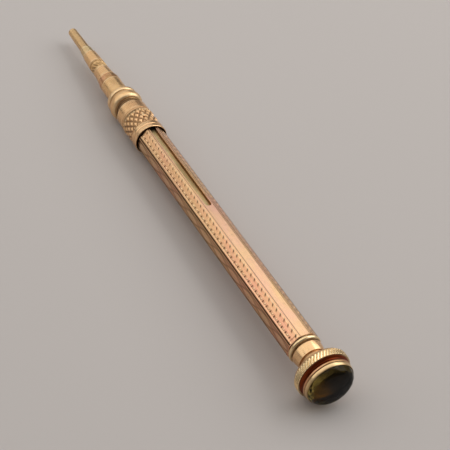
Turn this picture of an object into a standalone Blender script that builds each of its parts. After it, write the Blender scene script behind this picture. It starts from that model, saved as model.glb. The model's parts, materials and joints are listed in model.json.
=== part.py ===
# Telescoping slide pencil: octagonal barrel, slider ring, twist nose and screw-off seal cap.
# Metres. The pencil's axis runs along X with the tip at +X, and the slotted facet faces +Z.
# Stations along the axis are measured from the barrel's rear end, towards the tip.

import math

import bmesh
import bpy
from mathutils import Matrix, Vector

# Fits
FIT = 0.00003            # gap between two pieces that are fixed together
RUN = 0.00005            # radial clearance of a running fit
STOP = 0.0002            # end clearance at a stop

# Barrel
BARREL_LENGTH = 0.0729
BARREL_FLATS = 0.00582
BARREL_BORE = 0.0051
BARREL_SIDES = 8
BARREL_EDGE = 0.00006
SLOT_WIDTH = 0.0013

# Slide
SLIDE_TRAVEL = 0.0292
RING_LENGTH = 0.0102
RING_BORE = 0.00642
RING_RIM = 0.0070
RING_BAND = 0.00692
RING_COLLAR = 0.0067
RING_RIM_LENGTH = 0.0022
RING_BAND_LENGTH = 0.0043
RING_LINE = 0.00022
RING_LINE_DEPTH = 0.00006
RING_LINE_PITCH = 0.0006
RING_ROUND = 0.00012
RING_MOUTH = 0.0067
RING_MOUTH_LENGTH = 0.0008
RING_EDGE = 0.00008
KEY_SET_BACK = 0.0059
KEY_LENGTH = 0.0020
KEY_HEAD_RADIUS = 0.00314
RIVET_RADIUS = 0.00042
RIVET_CROWN = 0.00006
RIVET_FOOT_RADIUS = 0.0024
CARRIER_LENGTH = 0.0358
CARRIER_WALL = 0.00025
CARRIER_BUSH_LENGTH = 0.0019
THREAD_LENGTH = 0.0205
THREAD_BORE = 0.0038
SPRING_WIDTH = 0.0014
SPRING_LENGTH = 0.0066
SPRING_THICKNESS = 0.0001
SPRING_BOW = 0.00006
SPRING_LIFT = 0.00004

# Ferrule at the barrel's mouth
FERRULE_PLUG_LENGTH = 0.0017
FERRULE_FLANGE = 0.0059
FERRULE_FLANGE_LENGTH = 0.0003
FERRULE_COVE = 0.0054
FERRULE_COVE_LENGTH = 0.0013
FERRULE_BEAD = 0.00677
FERRULE_BEAD_LENGTH = 0.0025
FERRULE_LINE = 0.0052
FERRULE_LINE_LENGTH = 0.0003
FERRULE_LIP = 0.0056
FERRULE_LIP_LENGTH = 0.0009
FERRULE_LIP_ROUND = 0.0003

# Nose
NOSE_SLEEVE = 0.0042
NOSE_SLEEVE_LENGTH = 0.0123
NOSE_GAP = 0.0001
NOSE_BAND = 0.00424
NOSE_BAND_FRONT = 0.0038
NOSE_BAND_COVE = 0.0037
NOSE_BAND_LENGTH = 0.0020
REAR_CONE_BACK = 0.0037
REAR_CONE_FRONT = 0.0033
REAR_CONE_LENGTH = 0.0033
NOTCHED_RING = 0.0034
NOTCHED_RING_LENGTH = 0.0026
NOTCHED_GROOVE = 0.0029
NOTCHED_GROOVE_LENGTH = 0.0004
NOTCH_COUNT = 10
NOTCH_WIDTH = 0.0004
NOTCH_LENGTH = 0.0013
NOTCH_DEPTH = 0.00022
NOTCH_SLANT = math.radians(32)
FRONT_CONE_BACK = 0.0033
FRONT_CONE_FRONT = 0.0029
FRONT_CONE_LENGTH = 0.0040
STEP_COLLAR_BACK = 0.0027
STEP_COLLAR_FRONT = 0.0024
STEP_COLLAR_LENGTH = 0.0022
LEAD_TUBE_CORE = 0.0019
LEAD_TUBE_ROOT = 0.0022
LEAD_TUBE_TIP = 0.00184
LEAD_TUBE_LENGTH = 0.0086
LEAD_TUBE_TAIL = 0.0226
LEAD_TUBE_ROUND = 0.00028
GUIDE_TUBE = 0.0032
GUIDE_BORE = 0.0025
GUIDE_LENGTH = 0.0260
GUIDE_SEAT = 0.0029
GUIDE_SLOT_START = 0.0015
RETAINER = 0.0042
RETAINER_LENGTH = 0.0007
RETAINER_GAP = 0.00015

# Feed
FEED_TRAVEL = 0.0090
FOLLOWER_LENGTH = 0.0020
LUG_WIDTH = 0.0006
ROD = 0.0009
ROD_SEAT = 0.0014
LEAD = 0.0010
LEAD_LENGTH = 0.0221
LEAD_SET_BACK = 0.00025
ROD_LEAD_GAP = 0.0001

# Spare leads
BUSH_REAR = 0.00025
BUSH_LENGTH = 0.00475
BUSH_THREAD_LENGTH = 0.0034
MAGAZINE = 0.00316
MAGAZINE_WALL = 0.00026
MAGAZINE_LENGTH = 0.01385
SPARE_LEAD_LENGTH = 0.0122
SPARE_LEAD_COUNT = 3

# Cap
STEM = 0.00376
STEM_REACH = 0.0034
BEAD = 0.00625
BEAD_LENGTH = 0.00092
CAP_GAP = 0.00006
GROOVE = 0.0050
GROOVE_LENGTH = 0.0006
NECK = 0.0058
NECK_WAIST = 0.0048
NECK_FLARE = 0.0072
NECK_LENGTH = 0.0037
MILLED = 0.01027
MILLED_LENGTH = 0.0017
MILLED_TEETH = 72
MILLED_DEPTH = 0.00014
MILLED_SLANT = math.radians(30)
COVE_FRONT = 0.0096
COVE_WAIST = 0.0087
COVE_LENGTH = 0.00075
COVE_STEP = 0.00012
SEAT = 0.0093
SEAT_LENGTH = 0.0005
SEAT_BORE = 0.0078
BEZEL = 0.0092
BEZEL_EDGE = 0.0088
BEZEL_LENGTH = 0.0005
STONE = 0.0085
STONE_TABLE = 0.0058
STONE_BACK = 0.0052
STONE_SIDES = 16
STONE_BREAK = 0.0074
STONE_BREAK_DEPTH = 0.0008
STONE_CROWN = 0.0019
STONE_GIRDLE = 0.00025
STONE_PAVILION = 0.0005
FOIL_LENGTH = 0.00012

# Facets of the turned pieces
FINE = 44
PLAIN = 36
SMALL = 28
TINY = 16
ARC = 4
ROUND = 6
WELD = 0.000001
OVERSHOOT = 0.001

# Stations that follow from the sizes above
CARRIER = BARREL_BORE / 2 - RUN
CARRIER_BORE = CARRIER - CARRIER_WALL
BUSH_BORE = GUIDE_TUBE / 2 + RUN
KEY_WIDTH = SLOT_WIDTH - 2 * RUN
RING_REAR = BARREL_LENGTH - RING_LENGTH
KEY_STATION = BARREL_LENGTH - KEY_SET_BACK
SLOT_FRONT_END = KEY_STATION + KEY_LENGTH / 2 + STOP
SLOT_REAR_END = KEY_STATION - SLIDE_TRAVEL - KEY_LENGTH / 2 - STOP
CARRIER_FRONT = BARREL_LENGTH - FERRULE_PLUG_LENGTH - STOP
CARRIER_REAR = CARRIER_FRONT - CARRIER_LENGTH
LEAD_BORE = LEAD / 2 + FIT
CORE_BORE = LEAD_TUBE_CORE / 2 + FIT
FERRULE_BORE = NOSE_SLEEVE / 2 + RUN
FERRULE_SHOULDER = BARREL_LENGTH + FIT
SLEEVE_REAR = CARRIER_FRONT + NOSE_GAP
BAND_REAR = SLEEVE_REAR + NOSE_SLEEVE_LENGTH + FIT
REAR_CONE_REAR = BAND_REAR + NOSE_BAND_LENGTH + FIT
NOTCHED_REAR = REAR_CONE_REAR + REAR_CONE_LENGTH + FIT
FRONT_CONE_REAR = NOTCHED_REAR + NOTCHED_RING_LENGTH + FIT
STEP_REAR = FRONT_CONE_REAR + FRONT_CONE_LENGTH + FIT
TUBE_ROOT = STEP_REAR + STEP_COLLAR_LENGTH
TIP = TUBE_ROOT + LEAD_TUBE_LENGTH
LEAD_FRONT = TIP - LEAD_SET_BACK
LEAD_REAR = LEAD_FRONT - LEAD_LENGTH
CARRIER_BUSH_REAR = CARRIER_FRONT - CARRIER_BUSH_LENGTH
RETAINER_REAR = CARRIER_BUSH_REAR - RETAINER_GAP - RETAINER_LENGTH
THREAD_FRONT = RETAINER_REAR - RETAINER_GAP
THREAD_REAR = THREAD_FRONT - THREAD_LENGTH
GUIDE_FRONT = SLEEVE_REAR + GUIDE_SEAT
GUIDE_REAR = GUIDE_FRONT - GUIDE_LENGTH
GUIDE_SLOT_REAR = GUIDE_REAR + GUIDE_SLOT_START
FOLLOWER_REAR = GUIDE_SLOT_REAR + STOP
FOLLOWER_FRONT = FOLLOWER_REAR + FOLLOWER_LENGTH
GUIDE_SLOT_FRONT = FOLLOWER_FRONT + FEED_TRAVEL + STOP
ROD_REAR = FOLLOWER_FRONT - ROD_SEAT
BEAD_FRONT = -CAP_GAP
BEAD_REAR = BEAD_FRONT - BEAD_LENGTH
NECK_FRONT = BEAD_REAR - CAP_GAP
NECK_RIM = NECK_FRONT - GROOVE_LENGTH
NECK_REAR = NECK_RIM - NECK_LENGTH
MILLED_FRONT = NECK_REAR - FIT
MILLED_REAR = MILLED_FRONT - MILLED_LENGTH
COVE_TOP = MILLED_REAR - FIT
COVE_REAR = COVE_TOP - COVE_LENGTH
SEAT_TOP = COVE_REAR - FIT
SEAT_REAR = SEAT_TOP - SEAT_LENGTH
BEZEL_TOP = SEAT_REAR - FIT
BEZEL_REAR = BEZEL_TOP - BEZEL_LENGTH
FOIL_TOP = COVE_REAR - FIT
STONE_BACK_STATION = FOIL_TOP - FOIL_LENGTH - FIT
GIRDLE_FRONT = STONE_BACK_STATION - STONE_PAVILION
GIRDLE_REAR = GIRDLE_FRONT - STONE_GIRDLE
TABLE = GIRDLE_REAR - STONE_CROWN

# The row frame stands at the middle of the underside
AXIS_HEIGHT = MILLED / 2
MIDDLE = (TIP + TABLE) / 2
SEAT_POINT = Vector((-MIDDLE, 0, AXIS_HEIGHT))

GOLD = (0.80, 0.50, 0.27, 1)
ROSE = (0.72, 0.40, 0.25, 1)
GREEN_GOLD = (0.62, 0.50, 0.24, 1)
DULL_BRASS = (0.55, 0.42, 0.20, 1)
RED_GOLD = (0.42, 0.17, 0.09, 1)
STEEL = (0.48, 0.48, 0.50, 1)
GRAPHITE = (0.06, 0.06, 0.07, 1)
SMOKY = (0.16, 0.12, 0.03, 1)
FOIL_COLOUR = (0.70, 0.58, 0.25, 1)


def clear_scene():
    """Remove whatever the scene holds."""
    for old in list(bpy.data.objects):
        bpy.data.objects.remove(old, do_unlink=True)


def new_collection(name):
    """A collection under the scene."""
    made = bpy.data.collections.new(name)
    bpy.context.scene.collection.children.link(made)
    return made


def new_material(name, colour, metallic, roughness):
    """A plain Principled material."""
    made = bpy.data.materials.new(name)
    made.use_nodes = True
    shader = made.node_tree.nodes["Principled BSDF"]
    shader.inputs["Base Color"].default_value = colour
    shader.inputs["Metallic"].default_value = metallic
    shader.inputs["Roughness"].default_value = roughness
    return made


def new_object(name, mesh, colour=GOLD, metallic=1.0, roughness=0.3):
    """Put a mesh into the pencil's collection with a material of its own."""
    made = bpy.data.objects.new(name, mesh)
    mesh.materials.append(new_material(name, colour, metallic, roughness))
    PENCIL.objects.link(made)
    return made


def new_cutter(name, mesh):
    """A helper that only cuts."""
    made = bpy.data.objects.new(name, mesh)
    made.hide_render = True
    made.display_type = "WIRE"
    CUTTERS.objects.link(made)
    return made


def profile_mesh(name, points, closed):
    """A profile of (station, radius) points as edges in the XZ plane."""
    mesh = bpy.data.meshes.new(name)
    verts = [(station, 0, radius) for station, radius in points]
    edges = [(i, i + 1) for i in range(len(points) - 1)]
    if closed:
        edges.append((len(points) - 1, 0))
    mesh.from_pydata(verts, edges, [])
    return mesh


def add_screw(made, steps):
    """Turn the profile about the pencil's axis."""
    screw = made.modifiers.new("turn", "SCREW")
    screw.axis = "X"
    screw.angle = math.tau
    screw.steps = steps
    screw.render_steps = steps
    screw.use_merge_vertices = True
    screw.merge_threshold = WELD
    screw.use_normal_flip = True
    screw.use_smooth_shade = False


def turned_ring(name, outer, bore, steps, colour=GOLD, metallic=1.0, roughness=0.3):
    """A turned ring. Outer points run from rear to front, bore points back from front to rear."""
    made = new_object(name, profile_mesh(name, outer + bore, True), colour, metallic, roughness)
    add_screw(made, steps)
    return made


def turned_solid(name, outer, steps, colour=GOLD, metallic=1.0, roughness=0.3):
    """A turned piece without a bore. Its points run from rear to front."""
    points = [(outer[0][0], 0)] + outer + [(outer[-1][0], 0)]
    made = new_object(name, profile_mesh(name, points, False), colour, metallic, roughness)
    add_screw(made, steps)
    return made


def tube(name, rear, front, radius, bore, steps, colour=GOLD):
    """A plain tube."""
    outer = [(rear, radius), (front, radius)]
    return turned_ring(name, outer, [(front, bore), (rear, bore)], steps, colour)


def turned_cutter(name, rear, front, radius, steps):
    """A round cutter along the axis."""
    points = [(rear, 0), (rear, radius), (front, radius), (front, 0)]
    made = new_cutter(name, profile_mesh(name, points, False))
    add_screw(made, steps)
    return made


def cut(made, cutter, operation="DIFFERENCE"):
    """Cut one object by another, which it then carries."""
    cutter.parent = made
    boolean = made.modifiers.new("cut " + cutter.name, "BOOLEAN")
    boolean.operation = operation
    boolean.solver = "EXACT"
    boolean.object = cutter


def plate_mesh(name, points):
    """One face through the points."""
    mesh = bpy.data.meshes.new(name)
    mesh.from_pydata(points, [], [tuple(range(len(points)))])
    return mesh


def thicken(made, thickness):
    """Give a plate its thickness, behind the way its face points."""
    solidify = made.modifiers.new("thickness", "SOLIDIFY")
    solidify.thickness = thickness
    solidify.offset = -1
    solidify.use_even_offset = True


def arc_points(centre_station, centre_radius, half_length, height, count):
    """A half-round bulge, or a hollow where height is negative, from rear to front."""
    made = []
    for i in range(1, count):
        angle = math.pi * i / count
        station = centre_station - half_length * math.cos(angle)
        made.append((station, centre_radius + height * math.sin(angle)))
    return made


def round_points(station, radius, reach, start, turn=-math.pi / 2, count=ARC // 2):
    """A quarter-round corner about a centre, from one angle through a turn."""
    made = []
    for i in range(count + 1):
        angle = start + turn * i / count
        made.append((station + reach * math.cos(angle), radius + reach * math.sin(angle)))
    return made


def stadium(centre, length, width, height):
    """A slot's outline, round at both ends, in the plane at this height."""
    made = []
    reach = length / 2 - width / 2
    for side in (1, -1):
        for i in range(ARC * 2 + 1):
            angle = -math.pi / 2 + math.pi * i / (ARC * 2)
            x = centre + side * (reach + width / 2 * math.cos(angle))
            y = side * width / 2 * math.sin(angle)
            made.append((x, y, height))
    return made


def box_mesh(name, low, high):
    """A box between two corners."""
    mesh = bpy.data.meshes.new(name)
    work = bmesh.new()
    size = [h - l for l, h in zip(low, high)]
    middle = [(h + l) / 2 for l, h in zip(low, high)]
    place = Matrix.Translation(middle) @ Matrix.Diagonal(size + [1])
    bmesh.ops.create_cube(work, size=1, matrix=place)
    work.to_mesh(mesh)
    work.free()
    return mesh


def build_barrel_shell():
    """Octagonal tube with a round bore and the key's slot."""
    corner = BARREL_FLATS / 2 / math.cos(math.pi / BARREL_SIDES)
    mesh = bpy.data.meshes.new("barrel_shell")
    work = bmesh.new()
    lay = Matrix.Rotation(math.pi / 2, 4, "Y")
    turn = Matrix.Rotation(math.pi / BARREL_SIDES, 4, "X")
    place = Matrix.Translation((BARREL_LENGTH / 2, 0, 0)) @ turn @ lay
    bmesh.ops.create_cone(
        work,
        cap_ends=True,
        segments=BARREL_SIDES,
        radius1=corner,
        radius2=corner,
        depth=BARREL_LENGTH,
        matrix=place,
    )
    work.to_mesh(mesh)
    work.free()
    made = new_object("barrel_shell", mesh, GOLD)
    bevel = made.modifiers.new("worn edges", "BEVEL")
    bevel.width = BARREL_EDGE
    bevel.segments = 1
    bore = turned_cutter("barrel_bore", -OVERSHOOT, BARREL_LENGTH + OVERSHOOT, BARREL_BORE / 2, PLAIN)
    cut(made, bore)
    length = SLOT_FRONT_END - SLOT_REAR_END
    centre = (SLOT_FRONT_END + SLOT_REAR_END) / 2
    slot = new_cutter("slot", plate_mesh("slot", stadium(centre, length, SLOT_WIDTH, BARREL_FLATS)))
    thicken(slot, BARREL_FLATS)
    cut(made, slot)
    return made


def build_front_ferrule():
    """Bead, cove, plug and thin front ring in one turning."""
    plug_rear = FERRULE_SHOULDER - FIT - FERRULE_PLUG_LENGTH
    plug = BARREL_BORE / 2 - FIT
    cove_rear = FERRULE_SHOULDER + FERRULE_FLANGE_LENGTH
    cove_front = cove_rear + FERRULE_COVE_LENGTH
    bead_front = cove_front + FERRULE_BEAD_LENGTH
    lip_rear = bead_front + FERRULE_LINE_LENGTH
    front = lip_rear + FERRULE_LIP_LENGTH
    bead_middle = (cove_front + bead_front) / 2
    outer = [(plug_rear, plug), (FERRULE_SHOULDER, plug), (FERRULE_SHOULDER, FERRULE_FLANGE / 2)]
    outer.append((cove_rear, FERRULE_FLANGE / 2))
    dip = FERRULE_COVE / 2 - FERRULE_FLANGE / 2
    cove_middle = (cove_rear + cove_front) / 2
    outer += arc_points(cove_middle, FERRULE_FLANGE / 2, FERRULE_COVE_LENGTH / 2, dip, ARC)
    outer.append((cove_front, FERRULE_FLANGE / 2))
    bead_rise = FERRULE_BEAD / 2 - FERRULE_FLANGE / 2
    bead = arc_points(bead_middle, FERRULE_FLANGE / 2, FERRULE_BEAD_LENGTH / 2, bead_rise, ARC * 2)
    outer += bead
    outer += [(bead_front, FERRULE_LINE / 2), (lip_rear, FERRULE_LINE / 2)]
    lip = FERRULE_LIP / 2
    outer.append((lip_rear, lip))
    corner = front - FERRULE_LIP_ROUND
    outer += round_points(corner, lip - FERRULE_LIP_ROUND, FERRULE_LIP_ROUND, math.pi / 2)
    bore = [(front, FERRULE_BORE), (plug_rear, FERRULE_BORE)]
    return turned_ring("front_ferrule", outer, bore, FINE, GOLD)


def build_rear_bush():
    """Bush in the barrel's end, with a screw bore and a seat for the magazine."""
    front = BUSH_REAR + BUSH_LENGTH
    step = BUSH_REAR + BUSH_THREAD_LENGTH
    radius = BARREL_BORE / 2 - FIT
    outer = [(BUSH_REAR, radius), (front, radius)]
    seat = MAGAZINE / 2 + FIT
    thread = STEM / 2 + RUN + FIT
    bore = [(front, seat), (step, seat), (step, thread), (BUSH_REAR, thread)]
    return turned_ring("rear_bush", outer, bore, PLAIN, DULL_BRASS)


def build_magazine():
    """Tube for spare leads, open at the rear, and the leads in it."""
    rear = BUSH_REAR + BUSH_THREAD_LENGTH + FIT
    front = rear + MAGAZINE_LENGTH
    radius = MAGAZINE / 2
    bore = radius - MAGAZINE_WALL
    points = [(rear, bore), (rear, radius), (front, radius), (front, 0)]
    floor = front - MAGAZINE_WALL
    points = [(floor, 0), (floor, bore)] + points
    made = new_object("magazine_tube", profile_mesh("magazine_tube", points, False), DULL_BRASS)
    add_screw(made, SMALL)
    pieces = [made]
    circle = bore - LEAD / 2 - RUN - FIT
    for i in range(SPARE_LEAD_COUNT):
        name = "spare_lead_" + str(i + 1)
        start = rear + STOP
        outer = [(start, LEAD / 2), (start + SPARE_LEAD_LENGTH, LEAD / 2)]
        spare = turned_solid(name, outer, TINY, GRAPHITE, 0.0, 0.5)
        angle = math.tau * i / SPARE_LEAD_COUNT + math.pi / 2
        spare.location = (0, circle * math.cos(angle), circle * math.sin(angle))
        pieces.append(spare)
    return pieces


def build_slider_ring():
    """Slider ring with a smooth collar, two lines, the knurl's band and a rounded rim."""
    front = RING_REAR + RING_LENGTH
    rim_front = RING_REAR + RING_RIM_LENGTH
    band_front = rim_front + RING_BAND_LENGTH
    rim = RING_RIM / 2
    collar = RING_COLLAR / 2
    groove = RING_BAND / 2 - RING_LINE_DEPTH
    outer = round_points(RING_REAR + RING_ROUND, rim - RING_ROUND, RING_ROUND, math.pi)
    outer += [(rim_front - RING_LINE, rim), (rim_front - RING_LINE, groove), (rim_front, groove)]
    outer += [(rim_front, RING_BAND / 2), (band_front, RING_BAND / 2)]
    station = band_front
    for _ in range(2):
        low = collar - RING_LINE_DEPTH
        outer += [(station, low), (station + RING_LINE, low)]
        outer += [(station + RING_LINE, collar), (station + RING_LINE_PITCH, collar)]
        station += RING_LINE_PITCH
    outer += round_points(front - RING_EDGE, collar - RING_EDGE, RING_EDGE, math.pi / 2)
    mouth = RING_REAR + RING_MOUTH_LENGTH
    bore = [(front, RING_BORE / 2), (mouth, RING_BORE / 2), (RING_REAR, RING_MOUTH / 2)]
    made = turned_ring("slider_ring", outer, bore, FINE, GOLD)
    hole = upright_cylinder("rivet_hole", KEY_STATION, RIVET_RADIUS + FIT, RING_BORE / 4, RING_RIM)
    cut(made, new_cutter("rivet_hole", hole))
    return made


def upright_cylinder(name, station, radius, low, high):
    """A cylinder that stands up from the axis."""
    mesh = bpy.data.meshes.new(name)
    work = bmesh.new()
    bmesh.ops.create_cone(
        work,
        cap_ends=True,
        segments=TINY,
        radius1=radius,
        radius2=radius,
        depth=high - low,
        matrix=Matrix.Translation((station, 0, (low + high) / 2)),
    )
    work.to_mesh(mesh)
    work.free()
    return mesh


def build_slide_key():
    """Key in the slot, drilled for its rivet."""
    foot = CARRIER_BORE + FIT
    outline = stadium(KEY_STATION, KEY_LENGTH, KEY_WIDTH, KEY_HEAD_RADIUS)
    made = new_object("slide_key", plate_mesh("slide_key", outline), DULL_BRASS)
    thicken(made, KEY_HEAD_RADIUS - foot)
    drill = upright_cylinder("key_drill", KEY_STATION, RIVET_RADIUS + FIT, RIVET_FOOT_RADIUS, RING_RIM)
    cut(made, new_cutter("key_drill", drill))
    return made


def build_key_rivet():
    """Rivet through the ring into the key, with a low crown."""
    low = RIVET_FOOT_RADIUS + FIT
    high = RING_BAND / 2
    mesh = upright_cylinder("key_rivet", KEY_STATION, RIVET_RADIUS, low, high + RIVET_CROWN)
    made = new_object("key_rivet", mesh, GOLD)
    bevel = made.modifiers.new("crown", "BEVEL")
    bevel.width = RIVET_CROWN
    bevel.segments = 2
    bevel.limit_method = "ANGLE"
    return made


def build_carrier_tube():
    """Carrier tube with a hole for the key's foot."""
    made = tube("carrier_tube", CARRIER_REAR, CARRIER_FRONT, CARRIER, CARRIER_BORE, PLAIN, DULL_BRASS)
    outline = stadium(KEY_STATION, KEY_LENGTH + 2 * FIT, KEY_WIDTH + 2 * FIT, RING_RIM)
    hole = new_cutter("key_hole", plate_mesh("key_hole", outline))
    thicken(hole, RING_RIM)
    cut(made, hole)
    return made


def build_drag_spring():
    """Bowed leaf between the lowest facet and the ring's bore."""
    low = BARREL_FLATS / 2 + SPRING_LIFT
    rear = RING_REAR + RING_LENGTH / 2 - SPRING_LENGTH / 2
    mesh = bpy.data.meshes.new("drag_spring")
    work = bmesh.new()
    rows = []
    count = ARC * 2
    for i in range(count + 1):
        share = i / count
        x = rear + SPRING_LENGTH * share
        z = -low - SPRING_BOW * math.sin(math.pi * share)
        left = work.verts.new((x, -SPRING_WIDTH / 2, z))
        right = work.verts.new((x, SPRING_WIDTH / 2, z))
        rows.append((left, right))
    for (a, b), (c, d) in zip(rows, rows[1:]):
        work.faces.new((a, c, d, b))
    work.to_mesh(mesh)
    work.free()
    made = new_object("drag_spring", mesh, STEEL)
    thicken(made, SPRING_THICKNESS)
    return made


def build_nose():
    """The turned pieces of the nose, from the sleeve to the tip."""
    sleeve = NOSE_SLEEVE / 2
    sleeve_front = SLEEVE_REAR + NOSE_SLEEVE_LENGTH
    socket = GUIDE_TUBE / 2 + FIT
    seat = SLEEVE_REAR + GUIDE_SEAT + FIT
    bore = [(sleeve_front, CORE_BORE), (seat, CORE_BORE), (seat, socket), (SLEEVE_REAR, socket)]
    outer = [(SLEEVE_REAR, sleeve), (sleeve_front, sleeve)]
    pieces = [turned_ring("nose_sleeve", outer, bore, PLAIN, GOLD)]

    band_front = BAND_REAR + NOSE_BAND_LENGTH
    dip = NOSE_BAND_COVE / 2 - NOSE_BAND_FRONT / 2
    quarter = NOSE_BAND_LENGTH / 4
    outer = [(BAND_REAR, NOSE_BAND / 2), (BAND_REAR + quarter, NOSE_BAND / 2)]
    outer.append((BAND_REAR + quarter, NOSE_BAND_FRONT / 2))
    hollow = (BAND_REAR + quarter + band_front) / 2
    outer += arc_points(hollow, NOSE_BAND_FRONT / 2, quarter * 3 / 2, dip, ARC)
    outer.append((band_front, NOSE_BAND_FRONT / 2))
    bore = [(band_front, CORE_BORE), (BAND_REAR, CORE_BORE)]
    pieces.append(turned_ring("nose_band", outer, bore, PLAIN, ROSE))

    front = REAR_CONE_REAR + REAR_CONE_LENGTH
    pieces.append(cone("rear_cone", REAR_CONE_REAR, front, REAR_CONE_BACK, REAR_CONE_FRONT, GOLD))
    pieces.append(build_notched_ring())
    front = FRONT_CONE_REAR + FRONT_CONE_LENGTH
    pieces.append(cone("front_cone", FRONT_CONE_REAR, front, FRONT_CONE_BACK, FRONT_CONE_FRONT, GOLD))
    front = STEP_REAR + STEP_COLLAR_LENGTH
    pieces.append(cone("step_collar", STEP_REAR, front, STEP_COLLAR_BACK, STEP_COLLAR_FRONT, GREEN_GOLD))
    pieces.append(build_lead_tube())
    return pieces


def cone(name, rear, front, back_width, front_width, colour):
    """A bored cone."""
    outer = [(rear, back_width / 2), (front, front_width / 2)]
    return turned_ring(name, outer, [(front, CORE_BORE), (rear, CORE_BORE)], PLAIN, colour)


def build_notched_ring():
    """Small ring with a groove in front and slanting notches behind it."""
    front = NOTCHED_REAR + NOTCHED_RING_LENGTH
    radius = NOTCHED_RING / 2
    groove = NOTCHED_GROOVE / 2
    lip = front - NOTCHED_GROOVE_LENGTH
    outer = [(NOTCHED_REAR, radius), (lip - NOTCHED_GROOVE_LENGTH, radius)]
    outer += [(lip - NOTCHED_GROOVE_LENGTH, groove), (lip, groove), (lip, radius)]
    outer.append((front, FRONT_CONE_BACK / 2))
    bore = [(front, CORE_BORE), (NOTCHED_REAR, CORE_BORE)]
    made = turned_ring("notched_ring", outer, bore, PLAIN, ROSE)
    mesh = bpy.data.meshes.new("notches")
    work = bmesh.new()
    station = (NOTCHED_REAR + lip - NOTCHED_GROOVE_LENGTH) / 2
    for i in range(NOTCH_COUNT):
        turn = Matrix.Rotation(math.tau * (i + 1 / 2) / NOTCH_COUNT, 4, "X")
        slant = Matrix.Rotation(NOTCH_SLANT, 4, "Z")
        lift = Matrix.Translation((station, 0, radius))
        size = Matrix.Diagonal((NOTCH_LENGTH, NOTCH_WIDTH, NOTCH_DEPTH * 2, 1))
        bmesh.ops.create_cube(work, size=1, matrix=turn @ lift @ slant @ size)
    work.to_mesh(mesh)
    work.free()
    cut(made, new_cutter("notches", mesh))
    return made


def build_lead_tube():
    """Tip tube and the core that the nose's rings sit on."""
    rear = TUBE_ROOT - LEAD_TUBE_TAIL
    tip = LEAD_TUBE_TIP / 2
    outer = [(rear, LEAD_TUBE_CORE / 2), (TUBE_ROOT + FIT, LEAD_TUBE_CORE / 2)]
    outer += [(TUBE_ROOT + FIT, LEAD_TUBE_ROOT / 2)]
    corner = TIP - LEAD_TUBE_ROUND
    outer += round_points(corner, tip - LEAD_TUBE_ROUND, LEAD_TUBE_ROUND, math.pi / 2)
    return turned_ring("lead_tube", outer, [(TIP, LEAD_BORE), (rear, LEAD_BORE)], SMALL, ROSE)


def build_guide_tube():
    """Tube with two long slots for the follower's lugs."""
    made = tube("guide_tube", GUIDE_REAR, GUIDE_FRONT, GUIDE_TUBE / 2, GUIDE_BORE / 2, SMALL, DULL_BRASS)
    half = LUG_WIDTH / 2 + RUN
    low = (GUIDE_SLOT_REAR, -GUIDE_TUBE, -half)
    high = (GUIDE_SLOT_FRONT, GUIDE_TUBE, half)
    cut(made, new_cutter("guide_slots", box_mesh("guide_slots", low, high)))
    return made


def build_follower():
    """Follower with two lugs and a socket for the rod."""
    radius = GUIDE_BORE / 2 - RUN
    outer = [(FOLLOWER_REAR, radius), (FOLLOWER_FRONT, radius)]
    made = turned_solid("follower", outer, SMALL, STEEL)
    reach = THREAD_BORE / 2 - RUN
    low = (FOLLOWER_REAR + STOP, -reach, -LUG_WIDTH / 2)
    high = (FOLLOWER_FRONT - STOP, reach, LUG_WIDTH / 2)
    cut(made, new_cutter("lugs", box_mesh("lugs", low, high)), "UNION")
    mouth = FOLLOWER_FRONT + OVERSHOOT
    cut(made, turned_cutter("rod_socket", ROD_REAR - FIT, mouth, ROD / 2 + FIT, TINY))
    return made


def build_feed():
    """Follower, rod and lead."""
    rod_front = LEAD_REAR - ROD_LEAD_GAP
    rod = turned_solid("pusher_rod", [(ROD_REAR, ROD / 2), (rod_front, ROD / 2)], TINY, STEEL)
    lead = turned_solid("lead", [(LEAD_REAR, LEAD / 2), (LEAD_FRONT, LEAD / 2)], TINY, GRAPHITE, 0.0, 0.5)
    return [build_follower(), rod, lead]


def build_end_bead():
    """Loose bead ring between barrel and cap."""
    middle = (BEAD_FRONT + BEAD_REAR) / 2
    flank = BEAD / 2 - BEAD_LENGTH / 2
    bore = STEM / 2 + RUN + FIT
    outer = [(BEAD_REAR, flank)]
    outer += arc_points(middle, flank, BEAD_LENGTH / 2, BEAD_LENGTH / 2, ROUND)
    outer.append((BEAD_FRONT, flank))
    return turned_ring("end_bead", outer, [(BEAD_FRONT, bore), (BEAD_REAR, bore)], FINE, GOLD)


def build_cap_neck():
    """Waisted neck with a groove in front."""
    bore = STEM / 2 + FIT
    waist = NECK_WAIST / 2
    neck = NECK / 2
    flare = NECK_FLARE / 2
    third = NECK_LENGTH / 4
    outer = [(NECK_REAR, flare)]
    for i in range(1, ROUND + 1):
        share = i / ROUND
        station = NECK_REAR + third * share
        outer.append((station, waist + (flare - waist) * (1 - math.sin(math.pi / 2 * share))))
    shoulder = NECK_RIM - third / 2
    for i in range(1, ARC + 1):
        share = i / ARC
        station = NECK_REAR + third + (shoulder - NECK_REAR - third) * share
        ease = share * share * (3 - 2 * share)
        outer.append((station, waist + (neck - waist) * ease))
    outer += [(NECK_RIM, neck), (NECK_RIM, GROOVE / 2), (NECK_FRONT, GROOVE / 2)]
    return turned_ring("cap_neck", outer, [(NECK_FRONT, bore), (NECK_REAR, bore)], FINE, GOLD)


def build_cap_stem():
    """Screw stem of the cap, through the neck and the milled ring."""
    rear = MILLED_REAR + STOP
    return turned_solid("cap_stem", [(rear, STEM / 2), (STEM_REACH, STEM / 2)], SMALL, DULL_BRASS)


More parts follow.
